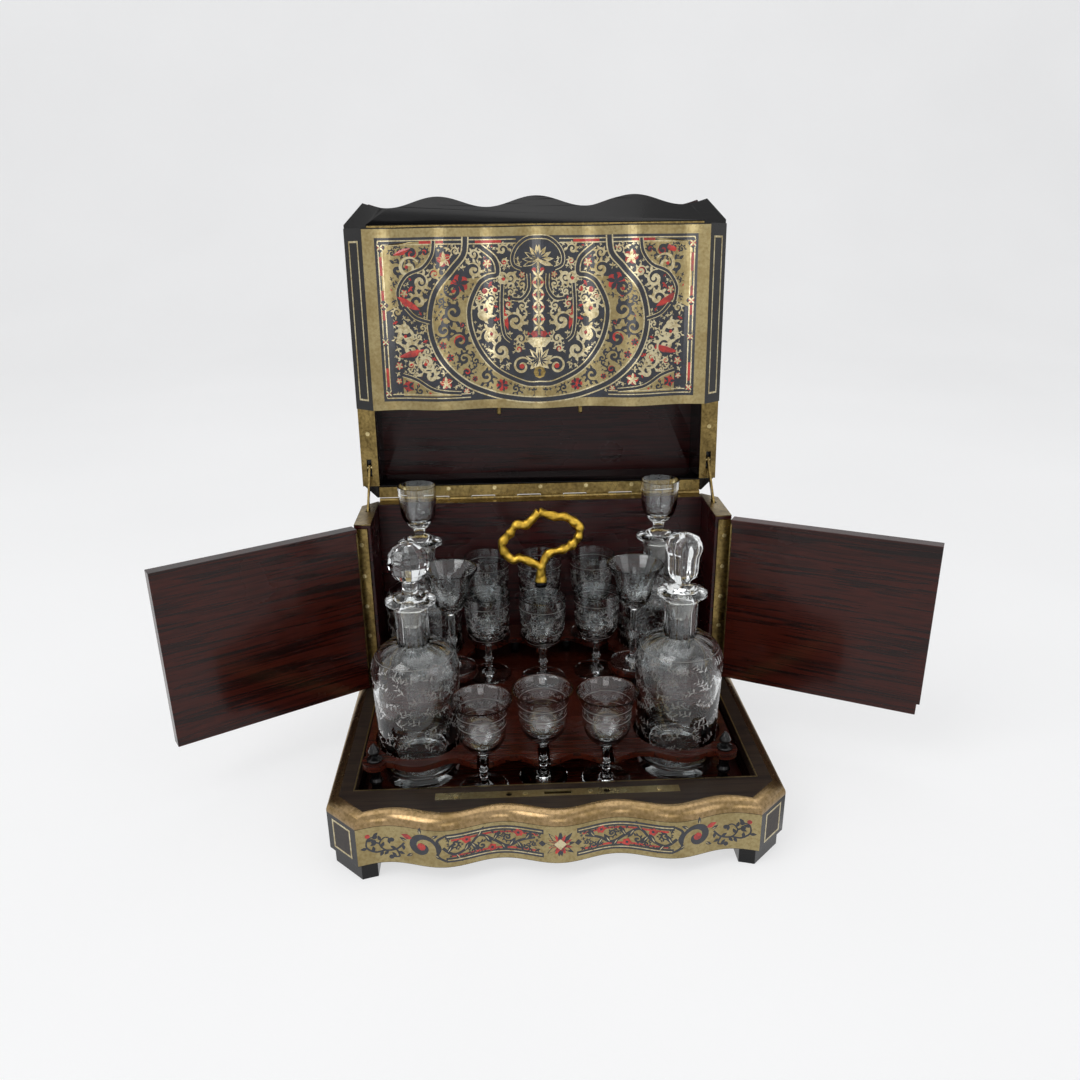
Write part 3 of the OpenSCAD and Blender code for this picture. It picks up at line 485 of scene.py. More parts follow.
@dataclass(frozen=True)
class Softbox:
    """One square soft light, with lengths in metres and its power in watts."""

    name: str
    place: tuple[float, float, float]
    target_z: float
    size: float
    power: float

    def build(self) -> None:
        """Hangs the light and turns it to a point above the origin."""
        data = bpy.data.lights.new(self.name, "AREA")
        data.size = self.size
        data.energy = self.power
        made = bpy.data.objects.new(self.name, data)
        made.location = self.place
        aim = Vector((0.0, 0.0, self.target_z)) - Vector(self.place)
        made.rotation_euler = aim.to_track_quat("-Z", "Y").to_euler()
        bpy.context.scene.collection.objects.link(made)


@dataclass(frozen=True)
class Studio:
    """Pale sweep and soft lights; the sweep's sizes are in metres."""

    sweep: str = "fbfbfb"
    sky: float = 0.36
    sky_seen: str = "efefef"
    sky_light: str = "e6eaf2"
    half_width: float = 9.0
    near_edge: float = -6.0
    bend_start: float = 2.2
    bend: float = 1.2
    top: float = 7.0
    lights: tuple[Softbox, ...] = (Softbox("key_softbox", (-1.3, -1.1, 1.9), 0.15, 1.3, 19.0),
                                   Softbox("fill_softbox", (1.6, -1.3, 1.3), 0.15, 1.3, 6.0),
                                   Softbox("top_softbox", (0.1, 0.2, 2.3), 0.0, 1.8, 10.5),
                                   Softbox("front_strip", (0.0, -2.0, 0.7), 0.25, 0.8, 3.6))

    def build(self) -> None:
        """Makes the sweep, the lights and the world."""
        self.make_sweep()
        for light in self.lights:
            light.build()
        world = bpy.data.worlds.new("studio")
        bpy.context.scene.world = world
        world.use_nodes = True
        tree = world.node_tree
        tree.nodes.clear()
        seen = add(tree, "ShaderNodeBackground", {"Color": linear(self.sky_seen), "Strength": 1.0})
        lit = add(tree, "ShaderNodeBackground", {"Color": linear(self.sky_light), "Strength": self.sky})
        mix = add(tree, "ShaderNodeMixShader", {0: seen_rays(tree), 1: lit.outputs[0], 2: seen.outputs[0]})
        output = add(tree, "ShaderNodeOutputWorld", {"Surface": mix.outputs[0]})
        output.is_active_output = True
        bpy.context.scene.view_settings.view_transform = "Standard"

    def make_sweep(self) -> None:
        """Makes one sheet that is the floor and bends up behind the object."""
        start, bend = self.bend_start, self.bend
        profile = [(self.near_edge, 0.0), (start, 0.0)]
        profile += [(start + bend * math.sin(math.radians(a)), bend - bend * math.cos(math.radians(a)))
                    for a in range(6, 91, 6)]
        profile.append((start + bend, self.top))
        vertices = [(x, y, z) for y, z in profile for x in (-self.half_width, self.half_width)]
        faces = [(2 * i, 2 * i + 1, 2 * i + 3, 2 * i + 2) for i in range(len(profile) - 1)]
        sweep = mesh_object("sweep", vertices, faces, SweepPaper("sweep_paper_matt", self.sweep), True)


@dataclass(frozen=True)
class SweepPaper(Finish):
    """Matt background paper with a barely uneven tone."""

    tone: str
    glow: float = 1.05
    share: float = 0.62

    def build(self, tree: bpy.types.NodeTree, shader: bpy.types.Node) -> None:
        """Builds the paper; part of what shows as background is its own even tone.

        Args:
            tree: The material's node tree.
            shader: Its Principled shader.
        """
        cloud = self.noise(tree, (2.0, 2.0, 2.0), 2.0)
        tone = ramp(tree, cloud, [(0.3, self.tone), (0.7, "fefefe")])
        fill(tree, shader, {"Base Color": tone, "Roughness": 0.9, "Specular IOR Level": 0.1})
        glow = add(tree, "ShaderNodeEmission", {"Color": tone, "Strength": self.glow})
        share = add(tree, "ShaderNodeMath", {0: seen_rays(tree), 1: self.share}, operation="MULTIPLY")
        mix = add(tree, "ShaderNodeMixShader",
                  {0: share.outputs[0], 1: shader.outputs[0], 2: glow.outputs[0]})
        output = next(node for node in tree.nodes if node.type == "OUTPUT_MATERIAL")
        tree.links.new(mix.outputs[0], output.inputs[0])


Point = tuple[float, float]
Placer = Callable[[float, float, float], Vector]

# Length of a line's straight pieces and greatest size of a ground's cells on a curved face, in mm
LINE_STEP = 2.5
GROUND_CELL = 3.0


def smooth_path(points: list[Point], step: float = 1.6) -> list[Point]:
    """Runs a smooth curve through points.

    Args:
        points: Corner points in mm.
        step: Distance between the curve's own points, in mm.

    Returns:
        The curve's points.
    """
    ends = [points[0]] + list(points) + [points[-1]]
    out: list[Point] = []
    for a, b, c, d in zip(ends, ends[1:], ends[2:], ends[3:]):
        count = max(1, round(math.dist(b, c) / step))
        for i in range(count):
            t = i / count
            out.append(tuple(0.5 * (2 * q + (r - p) * t + (2 * p - 5 * q + 4 * r - w) * t * t
                                    + (3 * q - p - 3 * r + w) * t ** 3) for p, q, r, w in zip(a, b, c, d)))
    out.append(tuple(points[-1]))
    return out


def between(a: Point, b: Point, t: float) -> Point:
    """Finds a point on the way from one point to another.

    Args:
        a: The first point.
        b: The second point.
        t: Share of the way, from 0 to 1.

    Returns:
        The point.
    """
    return (a[0] + (b[0] - a[0]) * t, a[1] + (b[1] - a[1]) * t)


def square_to(points: list[Point], index: int) -> Point:
    """Finds the direction square to a path at one of its points.

    Args:
        points: The path's points.
        index: Number of the point.

    Returns:
        A direction of length 1, to the path's left.
    """
    (u0, v0), (u1, v1) = points[max(index - 1, 0)], points[min(index + 1, len(points) - 1)]
    run = math.dist((u0, v0), (u1, v1)) or 1.0
    return (-(v1 - v0) / run, (u1 - u0) / run)


def spiral_path(centre: Point, radius: float, start: float, turns: float, hand: int = 1) -> list[Point]:
    """Makes a volute that winds inwards.

    Args:
        centre: Its eye, in mm.
        radius: Its outer radius, in mm.
        start: Angle at which it begins, in degrees.
        turns: Number of turns.
        hand: 1 for anticlockwise, -1 for clockwise.

    Returns:
        The volute's points.
    """
    count = max(8, round(turns * (12 + radius)))
    out = []
    for i in range(count + 1):
        t = i / count
        a = math.radians(start) + hand * t * turns * math.tau
        r = radius * (1 - 0.82 * t ** 0.85)
        out.append((centre[0] + r * math.cos(a), centre[1] + r * math.sin(a)))
    return out


def leaf_outline(base: Point, angle: float, length: float, width: float, curl: float = 0.0) -> list[Point]:
    """Makes a pointed leaf.

    Args:
        base: Where its stalk is, in mm.
        angle: Direction that it points in, in degrees.
        length: Its length, in mm.
        width: Its greatest width, in mm.
        curl: How far its tip bends to one side, in mm.

    Returns:
        The outline's points.
    """
    a = math.radians(angle)
    along, across = (math.cos(a), math.sin(a)), (-math.sin(a), math.cos(a))
    steps = [(0.0, 0.0), (0.22, 0.34), (0.5, 0.5), (0.78, 0.28), (1.0, 0.0)]
    ring = steps + [(t, -w) for t, w in reversed(steps[1:-1])]
    return [(base[0] + along[0] * t * length + across[0] * (w * width + curl * t * t),
             base[1] + along[1] * t * length + across[1] * (w * width + curl * t * t)) for t, w in ring]


def inside(ring: list[Point], point: Point) -> bool:
    """Tells whether a point is within a closed ring.

    Args:
        ring: The ring's corners.
        point: The point.

    Returns:
        True within the ring.
    """
    hit = False
    for (x0, y0), (x1, y1) in zip(ring, ring[1:] + ring[:1]):
        if (y0 > point[1]) != (y1 > point[1]) and point[0] < (x1 - x0) * (point[1] - y0) / (y1 - y0) + x0:
            hit = not hit
    return hit


@dataclass
class Sheet:
    """Ornament drawn in a surface's own millimetres and laid on that surface as thin cut sheet."""

    name: str
    place: Placer
    mirrored: bool = True
    parts: dict[Finish, tuple[list[Vector], list[tuple[int, ...]]]] = field(default_factory=dict)

    def face(self, finish: Finish, corners: list[Point], lift: float) -> None:
        """Adds one polygon, and its mirror image on a mirrored sheet.

        Args:
            finish: Finish of the sheet that it is cut from.
            corners: Its corners, in mm.
            lift: How far it stands proud, in mm.
        """
        vertices, faces = self.parts.setdefault(finish, ([], []))
        for side in ((1, -1) if self.mirrored else (1,)):
            first = len(vertices)
            vertices.extend(self.place(side * u, v, lift) for u, v in corners)
            ring = tuple(range(first, len(vertices)))
            faces.append(ring if side > 0 else ring[::-1])

    def ribbon(self, finish: Finish, points: list[Point], widths: tuple[float, ...], lift: float) -> None:
        """Adds a strip whose width changes along it.

        Args:
            finish: Finish of the sheet that it is cut from.
            points: Its middle line, in mm.
            widths: Full widths from its start to its end, in mm.
            lift: How far it stands proud, in mm.
        """
        sides: list[tuple[Point, Point]] = []
        last = len(points) - 1
        for i, (u, v) in enumerate(points):
            left = square_to(points, i)
            at = i / last * (len(widths) - 1)
            low = min(int(at), len(widths) - 2)
            half = (widths[low] + (widths[low + 1] - widths[low]) * (at - low)) / 2
            du, dv = left[0] * half, left[1] * half
            sides.append(((u + du, v + dv), (u - du, v - dv)))
        for (a, b), (c, d) in zip(sides, sides[1:]):
            self.face(finish, [a, b, d, c], lift)

    def line(self, finish: Finish, start: Point, end: Point, width: float, lift: float) -> None:
        """Adds a straight strip that still follows a curved surface.

        Args:
            finish: Finish of the strip.
            start: Its start, in mm.
            end: Its end, in mm.
            width: Its width, in mm.
            lift: How far it stands proud, in mm.
        """
        count = max(1, round(math.dist(start, end) / LINE_STEP))
        points = [(start[0] + (end[0] - start[0]) * i / count, start[1] + (end[1] - start[1]) * i / count)
                  for i in range(count + 1)]
        self.ribbon(finish, points, (width, width), lift)

    def frame(self, finish: Finish, u0: float, u1: float, v0: float, v1: float, width: float,
              lift: float) -> None:
        """Adds a rectangle of stringing.

        Args:
            finish: Finish of the stringing.
            u0: Left edge, in mm.
            u1: Right edge, in mm.
            v0: Lower edge, in mm.
            v1: Upper edge, in mm.
            width: Width of the line, in mm.
            lift: How far it stands proud, in mm.
        """
        h = width / 2
        for start, end in (((u0, v0 + h), (u1, v0 + h)), ((u0, v1 - h), (u1, v1 - h)),
                           ((u0 + h, v0 + width), (u0 + h, v1 - width)),
                           ((u1 - h, v0 + width), (u1 - h, v1 - width))):
            self.line(finish, start, end, width, lift)

    def ground(self, finish: Finish, left: list[Point], right: list[Point], lift: float) -> None:
        """Fills the band between two curves.

        Args:
            finish: Finish of the ground.
            left: One edge.
            right: The other edge, with as many points.
            lift: How far it stands proud, in mm.
        """
        cells = max(1, round(max(math.dist(a, b) for a, b in zip(left, right)) / GROUND_CELL))
        for (a, b), (c, d) in zip(zip(left, right), zip(left[1:], right[1:])):
            for i in range(cells):
                t0, t1 = i / cells, (i + 1) / cells
                cell = [between(a, b, t0), between(a, b, t1), between(c, d, t1), between(c, d, t0)]
                self.face(finish, cell, lift)

    def leaf(self, finish: Finish, base: Point, angle: float, length: float, width: float, lift: float,
             curl: float = 0.0) -> None:
        """Adds a pointed leaf.

        Args:
            finish: Finish of the leaf.
            base: Where its stalk is, in mm.
            angle: Direction that it points in, in degrees.
            length: Its length, in mm.
            width: Its width, in mm.
            lift: How far it stands proud, in mm.
            curl: How far its tip bends, in mm.
        """
        self.face(finish, leaf_outline(base, angle, length, width, curl), lift)

    def disc(self, finish: Finish, centre: Point, radius: float, lift: float, lobes: int = 0) -> None:
        """Adds a berry, or a rosette if it has lobes.

        Args:
            finish: Finish of the disc.
            centre: Its centre, in mm.
            radius: Its radius, in mm.
            lift: How far it stands proud, in mm.
            lobes: Number of petals.
        """
        count = max(8, lobes * 5)
        ring = []
        for i in range(count):
            a = math.tau * i / count
            r = radius * (1 - 0.24 * (0.5 - 0.5 * math.cos(lobes * a))) if lobes else radius
            ring.append((centre[0] + r * math.cos(a), centre[1] + r * math.sin(a)))
        self.face(finish, ring, lift)

    def strap(self, points: list[Point], width: float, lift: float = 0.24) -> None:
        """Adds a dark strap with a brass line along both of its edges.

        Args:
            points: Corner points of its middle line, in mm.
            width: Its full width, in mm.
            lift: How far its brass stands proud, in mm.
        """
        path = smooth_path(points)
        for finish, full, height in ((INLAY_BRASS, width, lift), (INLAY_DARK, width * 0.62, lift + 0.05)):
            self.ribbon(finish, path, (full, full), height)

    def build(self, body: str, slot: str) -> None:
        """Makes one object for each finish on the sheet.

        Args:
            body: Body that the ornament moves with.
            slot: Material slot of the record that it belongs to; not used.
        """
        for index, (finish, (vertices, faces)) in enumerate(self.parts.items()):
            piece = mesh_object(f"{self.name}_{index}", vertices, faces, finish)
            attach(piece, body)


@dataclass
class ScrollFill:
    """Fills a field with volutes, leaves and flowers of mixed sizes that never cross a strap."""

    sheet: Sheet
    seed: int
    blocked: list[tuple[Point, float]]
    area: tuple[float, float, float, float]
    sizes: tuple[float, float] = (1.05, 9.0)
    tries: int = 7000
    circles: list[tuple[Point, float]] = field(default_factory=list)
    volute_from: float = 2.8

    def room(self, point: Point) -> float:
        """Finds how large a motif may be at a point.

        Args:
            point: Its centre, in mm.

        Returns:
            The free radius, in mm.
        """
        u0, u1, v0, v1 = self.area
        free = min(point[0] - u0, u1 - point[0], point[1] - v0, v1 - point[1], self.sizes[1])
        for (u, v), radius in self.blocked + self.circles:
            if abs(u - point[0]) < free + radius and abs(v - point[1]) < free + radius:
                free = min(free, math.dist((u, v), point) - radius)
        return free

    def build(self, ink: Callable[[Point], Finish]) -> None:
        """Places the motifs.

        Args:
            ink: Gives the finish that a motif has at a point.
        """
        dice = random.Random(self.seed)
        u0, u1, v0, v1 = self.area
        large = self.sizes[1]
        passes = [(large * 0.66, 0.15), (large * 0.42, 0.2), (large * 0.26, 0.25), (self.sizes[0], 0.5)]
        for least, share in passes:
            for _ in range(int(self.tries * share)):
                point = (dice.uniform(u0, u1), dice.uniform(v0, v1))
                free = self.room(point)
                if free >= least:
                    self.circles.append((point, free))
                    self.motif(point, free, ink(point), dice)

    def motif(self, point: Point, free: float, finish: Finish, dice: random.Random) -> None:
        """Draws one motif in its circle.

        Args:
            point: Its centre, in mm.
            free: Its radius, in mm.
            finish: Its finish.
            dice: Source of its variations.
        """
        sheet, start, hand = self.sheet, dice.uniform(0, 360), dice.choice((1, -1))
        kind = dice.random()
        if free > self.volute_from and kind < 0.84:
            path = spiral_path(point, free * 0.95, start, dice.uniform(1.05, 1.4), hand)
            sheet.ribbon(finish, path, (0.6, free * 0.34, free * 0.42, free * 0.26), 0.17)
            sheet.disc(finish, path[-1], free * 0.24, 0.17)
            for i in range(6):
                base = path[1 + i * len(path) // 10]
                heading = math.degrees(math.atan2(base[1] - point[1], base[0] - point[0]))
                sheet.leaf(finish, base, heading - hand * 55, free * 0.66, free * 0.36, 0.175,
                           hand * free * 0.18)
            if kind < 0.2:
                sheet.disc(INLAY_RED, point, free * 0.62, 0.15)
        elif free > self.volute_from:
            sheet.disc(INLAY_RED, point, free * 0.85, 0.15, 5)
            for i in range(5):
                sheet.leaf(finish, point, start + 72 * i, free * 0.95, free * 0.42, 0.18)
        else:
            for i in range(3):
                sheet.leaf(INLAY_RED if kind < 0.1 else finish, point, start + (i - 1) * 62, free * 1.25,
                           free * 0.62, 0.17, free * 0.2)
            sheet.leaf(finish, point, start + 180, free * 1.1, 0.55, 0.17)


@dataclass(frozen=True)
class WavyFront:
    """A front face whose plan is a run of bulges and hollows."""

    half: float
    front: float
    swing: float = 4.3

    def point(self, u: float, lift: float) -> tuple[float, float]:
        """Finds a point in plan.

        Args:
            u: Place across the front, in mm.
            lift: How far outside the face, in mm.

        Returns:
            X and Y in mm.
        """
        rate = math.tau * 7 / (4 * self.half)
        slope = self.swing * rate * math.sin(rate * u)
        size = math.hypot(1.0, slope)
        return (u + lift * slope / size, self.front - self.swing * math.cos(rate * u) - lift / size)

    def level(self, v: float, count: int = 60) -> list[Point]:
        """Draws a level line over the right half of the front.

        Args:
            v: Its height, in mm.
            count: Number of its pieces.

        Returns:
            Its points, in mm across and up.
        """
        return [(self.half * i / count, v) for i in range(count + 1)]


def on_cant(side: int, middle: Point, u: float, lift: float) -> Point:
    """Finds a point in plan on a canted corner.

    Args:
        side: 1 for the right corner, -1 for the left.
        middle: Middle of the right cant, in mm.
        u: Place across the cant, in mm.
        lift: How far outside the face, in mm.

    Returns:
        X and Y in mm.
    """
    return (side * (middle[0] + (u + lift) * CANT), middle[1] + (u - lift) * CANT)


# The flap's hinge as depth and height in mm, with the lid shut and with it open, and how far the flap turns
# from the one to the other, in degrees
FLAP_AXIS_SHUT = (-98.8, 206.5)
FLAP_AXIS_OPEN = (150.546, 441.062)
FLAP_TURN = -3.5


def open_flap(x: float, y: float, z: float) -> Vector:
    """Carries a point of the shut flap to where the open lid holds it.

    Args:
        x: Place across, in mm.
        y: Depth with the flap shut, in mm.
        z: Height with the flap shut, in mm.

    Returns:
        The point at rest, in metres.
    """
    turn = math.radians(FLAP_TURN)
    dy, dz = y - FLAP_AXIS_SHUT[0], z - FLAP_AXIS_SHUT[1]
    return spot(x, FLAP_AXIS_OPEN[0] + dy * math.cos(turn) - dz * math.sin(turn),
                FLAP_AXIS_OPEN[1] + dy * math.sin(turn) + dz * math.cos(turn))


@dataclass(frozen=True)
class FlapMarquetry:
    """The flap's panel of brass, horn and red shell inside a wide brass border."""

    front: WavyFront = WavyFront(145.0, -118.5)
    bottom: float = 56.0
    height: float = 149.0
    ring_top: float = 106.0

    def place(self, u: float, v: float, lift: float) -> Vector:
        """Lays the drawing on the flap's face.

        Args:
            u: Place across, in mm.
            v: Height above the flap's lower edge, in mm.
            lift: How far it stands proud, in mm.

        Returns:
            The point at rest, in metres.
        """
        x, y = self.front.point(u, lift)
        return open_flap(x, y, self.bottom + v)

    def build(self) -> None:
        """Builds the whole panel."""
        sheet = Sheet("flap_marquetry", self.place)
        self.border(sheet)
        outer, inner = self.straps(sheet)
        ring = outer + [(-u, v) for u, v in reversed(outer)]
        core = inner + [(-u, v) for u, v in reversed(inner)]

        corner = smooth_path(self.extra_paths()[2], 2.5)
        edge = [(131.0, 138.0 - 56.0 * i / (len(corner) - 1)) for i in range(1, len(corner))]
        sheet.ground(BRASS_SHEET, corner, [(112.0, 138.0)] + edge, 0.1)
        foot = smooth_path(self.extra_paths()[3], 2.5)
        sheet.ground(BRASS_SHEET, [(u, 12.0) for u, _ in foot], foot, 0.1)
        zones = [corner + [(126, 88), (126, 138)], foot + [(118, 12), (68, 12)]]

        def ink(point: Point) -> Finish:
            """Chooses dark scrolls for brass ground and brass ones for dark ground.

            Args:
                point: Middle of the motif, in mm.

            Returns:
                Its finish.
            """
            on_ring = point[1] < self.ring_top and inside(ring, point) and not inside(core, point)
            return INLAY_DARK if on_ring or any(inside(zone, point) for zone in zones) else INLAY_BRASS

        blocked = [(p, 2.9) for p in outer + inner]
        for path in self.extra_paths():
            blocked += [(p, 1.7) for p in smooth_path(path, 2.5)]
        self.centre(sheet, blocked)
        ScrollFill(sheet, 7, blocked, (1.0, 124.5, 12.5, 136.5)).build(ink)
        sheet.build("flap", "marquetry")
        self.cants()
        self.escutcheon()

    def border(self, sheet: Sheet) -> None:
        """Lays ground, border and side bars.

        Args:
            sheet: The panel's sheet.
        """
        sheet.ground(INLAY_DARK, self.front.level(0.0), self.front.level(self.height), 0.06)
        for v, width in ((3.75, 7.5), (self.height - 3.5, 7.0)):
            sheet.line(BRASS_SHEET, (0, v), (self.front.half, v), width, 0.2)
        sheet.line(BRASS_SHEET, (140.15, 7.5), (140.15, 142), 9.7, 0.2)
        for inset in (0.0, 3.2):
            u, v0, v1 = 132.6 - inset, 10.2 + inset, 139.5 - inset
            sheet.line(INLAY_BRASS, (60, v0), (u, v0), 0.9, 0.2)
            sheet.line(INLAY_BRASS, (18, v1), (u, v1), 0.9, 0.2)
            sheet.line(INLAY_BRASS, (u, v0), (u, v1), 0.9, 0.2)
        for v0, v1 in ((20, 36), (76, 100), (112, 127)):
            sheet.line(INLAY_RED, (131, v0), (131, v1), 2.3, 0.12)
        fields = [((100, 84), 25, 24, 6.5), ((96, 52), -20, 26, 6.0), ((64, 132), 8, 20, 5.0),
                  ((104, 134), -25, 18, 5.0), ((70, 52), 60, 20, 6.0), ((26, 66), 75, 22, 4.5),
                  ((84, 24), 15, 24, 4.5)]
        for start, angle, length, width in fields:
            sheet.leaf(INLAY_RED, start, angle, length, width, 0.08, 2.0)
        for u0, u1 in ((30, 52), (78, 98)):
            sheet.line(INLAY_RED, (u0, 137.9), (u1, 137.9), 2.3, 0.12)
        for v in (14.5, 58, 88, 134.5):
            sheet.disc(INLAY_DARK, (131, v), 4.2, 0.22, 4)
            sheet.disc(INLAY_RED, (131, v), 2.6, 0.24, 4)
            for a in range(0, 360, 90):
                sheet.leaf(INLAY_BRASS, (131, v), a + 45, 3.6, 1.5, 0.27)

    def straps(self, sheet: Sheet) -> tuple[list[Point], list[Point]]:
        """Lays the two nested straps of the cartouche and the brass ground between them.

        Args:
            sheet: The panel's sheet.

        Returns:
            Points of the outer and the inner strap.
        """
        outer = smooth_path([(0, 7.5), (20, 8.5), (40, 12), (64, 23), (84, 44), (92, 70), (87, 97), (72, 116),
                             (62, 128), (60, 142)], 2.5)
        inner = smooth_path([(0, 21), (14, 22), (38, 34), (54, 56), (59, 82), (51, 103), (42, 110), (34, 112),
                             (36, 124), (48, 134)], 2.5)
        count = min(len(outer), len(inner))
        pick = [outer[round(i * (len(outer) - 1) / (count - 1))] for i in range(count)]
        other = [inner[round(i * (len(inner) - 1) / (count - 1))] for i in range(count)]
        low = [i for i, (_, v) in enumerate(pick) if v < self.ring_top + 2]
        sheet.ground(BRASS_SHEET, [pick[i] for i in low], [other[i] for i in low], 0.1)
        sheet.strap(outer, 6.0)
        sheet.strap(inner, 5.2)
        for path in self.extra_paths():
            sheet.strap(path, 3.6, 0.3)
        volutes = [(INLAY_BRASS, (30, 108), 5.5, 1, 60), (INLAY_DARK, (72, 100), 7.0, -1, 10),
                   (INLAY_BRASS, (96, 40), 9.0, 1, 200), (INLAY_BRASS, (108, 118), 9.5, -1, 150),
                   (INLAY_BRASS, (112, 62), 10.0, 1, 250), (INLAY_BRASS, (44, 84), 8.0, -1, 90),
                   (INLAY_BRASS, (40, 62), 6.5, 1, 300)]
        for finish, start, radius, hand, angle in volutes:
            path = spiral_path(start, radius, angle, 1.35, hand)
            sheet.ribbon(finish, path, (1.0, 3.2, 2.4, 1.8), 0.21)
            sheet.disc(INLAY_RED, path[-1], 1.5, 0.25)
        return outer, inner

    def extra_paths(self) -> list[list[Point]]:
        """Gives the small straps of the top and the middle.

        Returns:
            Corner points of each.
        """
        return [[(0, 141), (9, 140), (17, 134), (21, 126), (20, 119), (14, 116)],
                [(30, 104), (31, 90), (31, 74), (29, 62), (24, 57)],
                [(86, 139), (88, 128), (96, 118), (110, 112), (118, 100), (117, 88)],
                [(68, 14), (90, 17), (106, 26), (118, 30)],
                [(92, 74), (104, 78), (112, 86)], [(8, 112), (8, 100), (14, 92), (22, 92)]]

    def centre(self, sheet: Sheet, blocked: list[tuple[Point, float]]) -> None:
        """Lays the middle column: a shell at the top, a vase of leaves and a palmette below.

        Args:
            sheet: The panel's sheet.
            blocked: Places that the scroll fill keeps off, which it adds to.
        """
        for i in range(5):
            sheet.leaf(INLAY_BRASS, (0.2, 122), 90 - i * 26, 13, 4.2, 0.2, -1.0)
            sheet.leaf(INLAY_DARK, (0.4, 124), 90 - i * 26, 7.5, 1.4, 0.24, -0.5)
        sheet.line(INLAY_BRASS, (0, 62), (0, 122), 1.8, 0.19)
        for v in (70, 80, 90, 100, 110):
            for angle in (38, -38):
                sheet.leaf(INLAY_BRASS, (0.3, v), angle, 6.5, 2.2, 0.2, 1.2 if angle > 0 else -1.2)
            sheet.disc(INLAY_RED, (3.5, v + 5), 1.9, 0.16)
        sheet.ground(INLAY_BRASS, [(0, 52), (0, 56), (0, 60)], [(5, 52), (9, 56), (11, 60)], 0.2)
        sheet.disc(INLAY_RED, (4, 63), 3.2, 0.18, 5)
        for i in range(6):
            angle = 90 - i * 30
            sheet.leaf(INLAY_BRASS, (0.3, 40), angle, 14 - i, 4.4, 0.2, -1.6)
            sheet.leaf(INLAY_DARK, (0.6, 41), angle, 9 - i * 0.6, 1.3, 0.24, -0.8)
        ring = spiral_path((15, 36), 9.0, 180, 1.4, -1)
        sheet.ribbon(INLAY_BRASS, ring, (1.2, 2.2, 1.6), 0.2)
        sheet.disc(INLAY_RED, (15, 36), 2.2, 0.22)
        blocked += [((1.0, v), 6.0) for v in range(62, 122, 4)]
        blocked += [((3, 128), 12.0), ((2, 46), 12.0), ((3, 34), 12.0), ((15, 36), 9.5)]

    def cants(self) -> None:
        """Lays a long rectangle of brass stringing on both cants."""
        for name, side in CANTS.items():
            sheet = Sheet(f"flap_cant_{name}", lambda u, v, lift, side=side: open_flap(
                *on_cant(side, (153.5, -110), u, lift), self.bottom + v), False)
            sheet.frame(INLAY_BRASS, -6.8, 6.2, 8.0, 140.0, 1.5, 0.15)
            sheet.build("flap", "marquetry")

    def escutcheon(self) -> None:
        """Sets a small brass plate with a keyhole in the panel; the keyhole is painted shade, a dark horn
        sheet in place of a hole.
        """
        sheet = Sheet("flap_escutcheon", self.place, False)
        sheet.disc(BRASS, (0, 31), 5.2, 0.42)
        # Keyhole: a dark horn disc and slot that paint the shade inside the hole
        sheet.disc(INLAY_DARK, (0, 32.4), 1.5, 0.5)
        sheet.ground(INLAY_DARK, [(-0.6, 32.4), (-1.1, 28)], [(0.6, 32.4), (1.1, 28)], 0.5)
        sheet.build("flap", "marquetry")


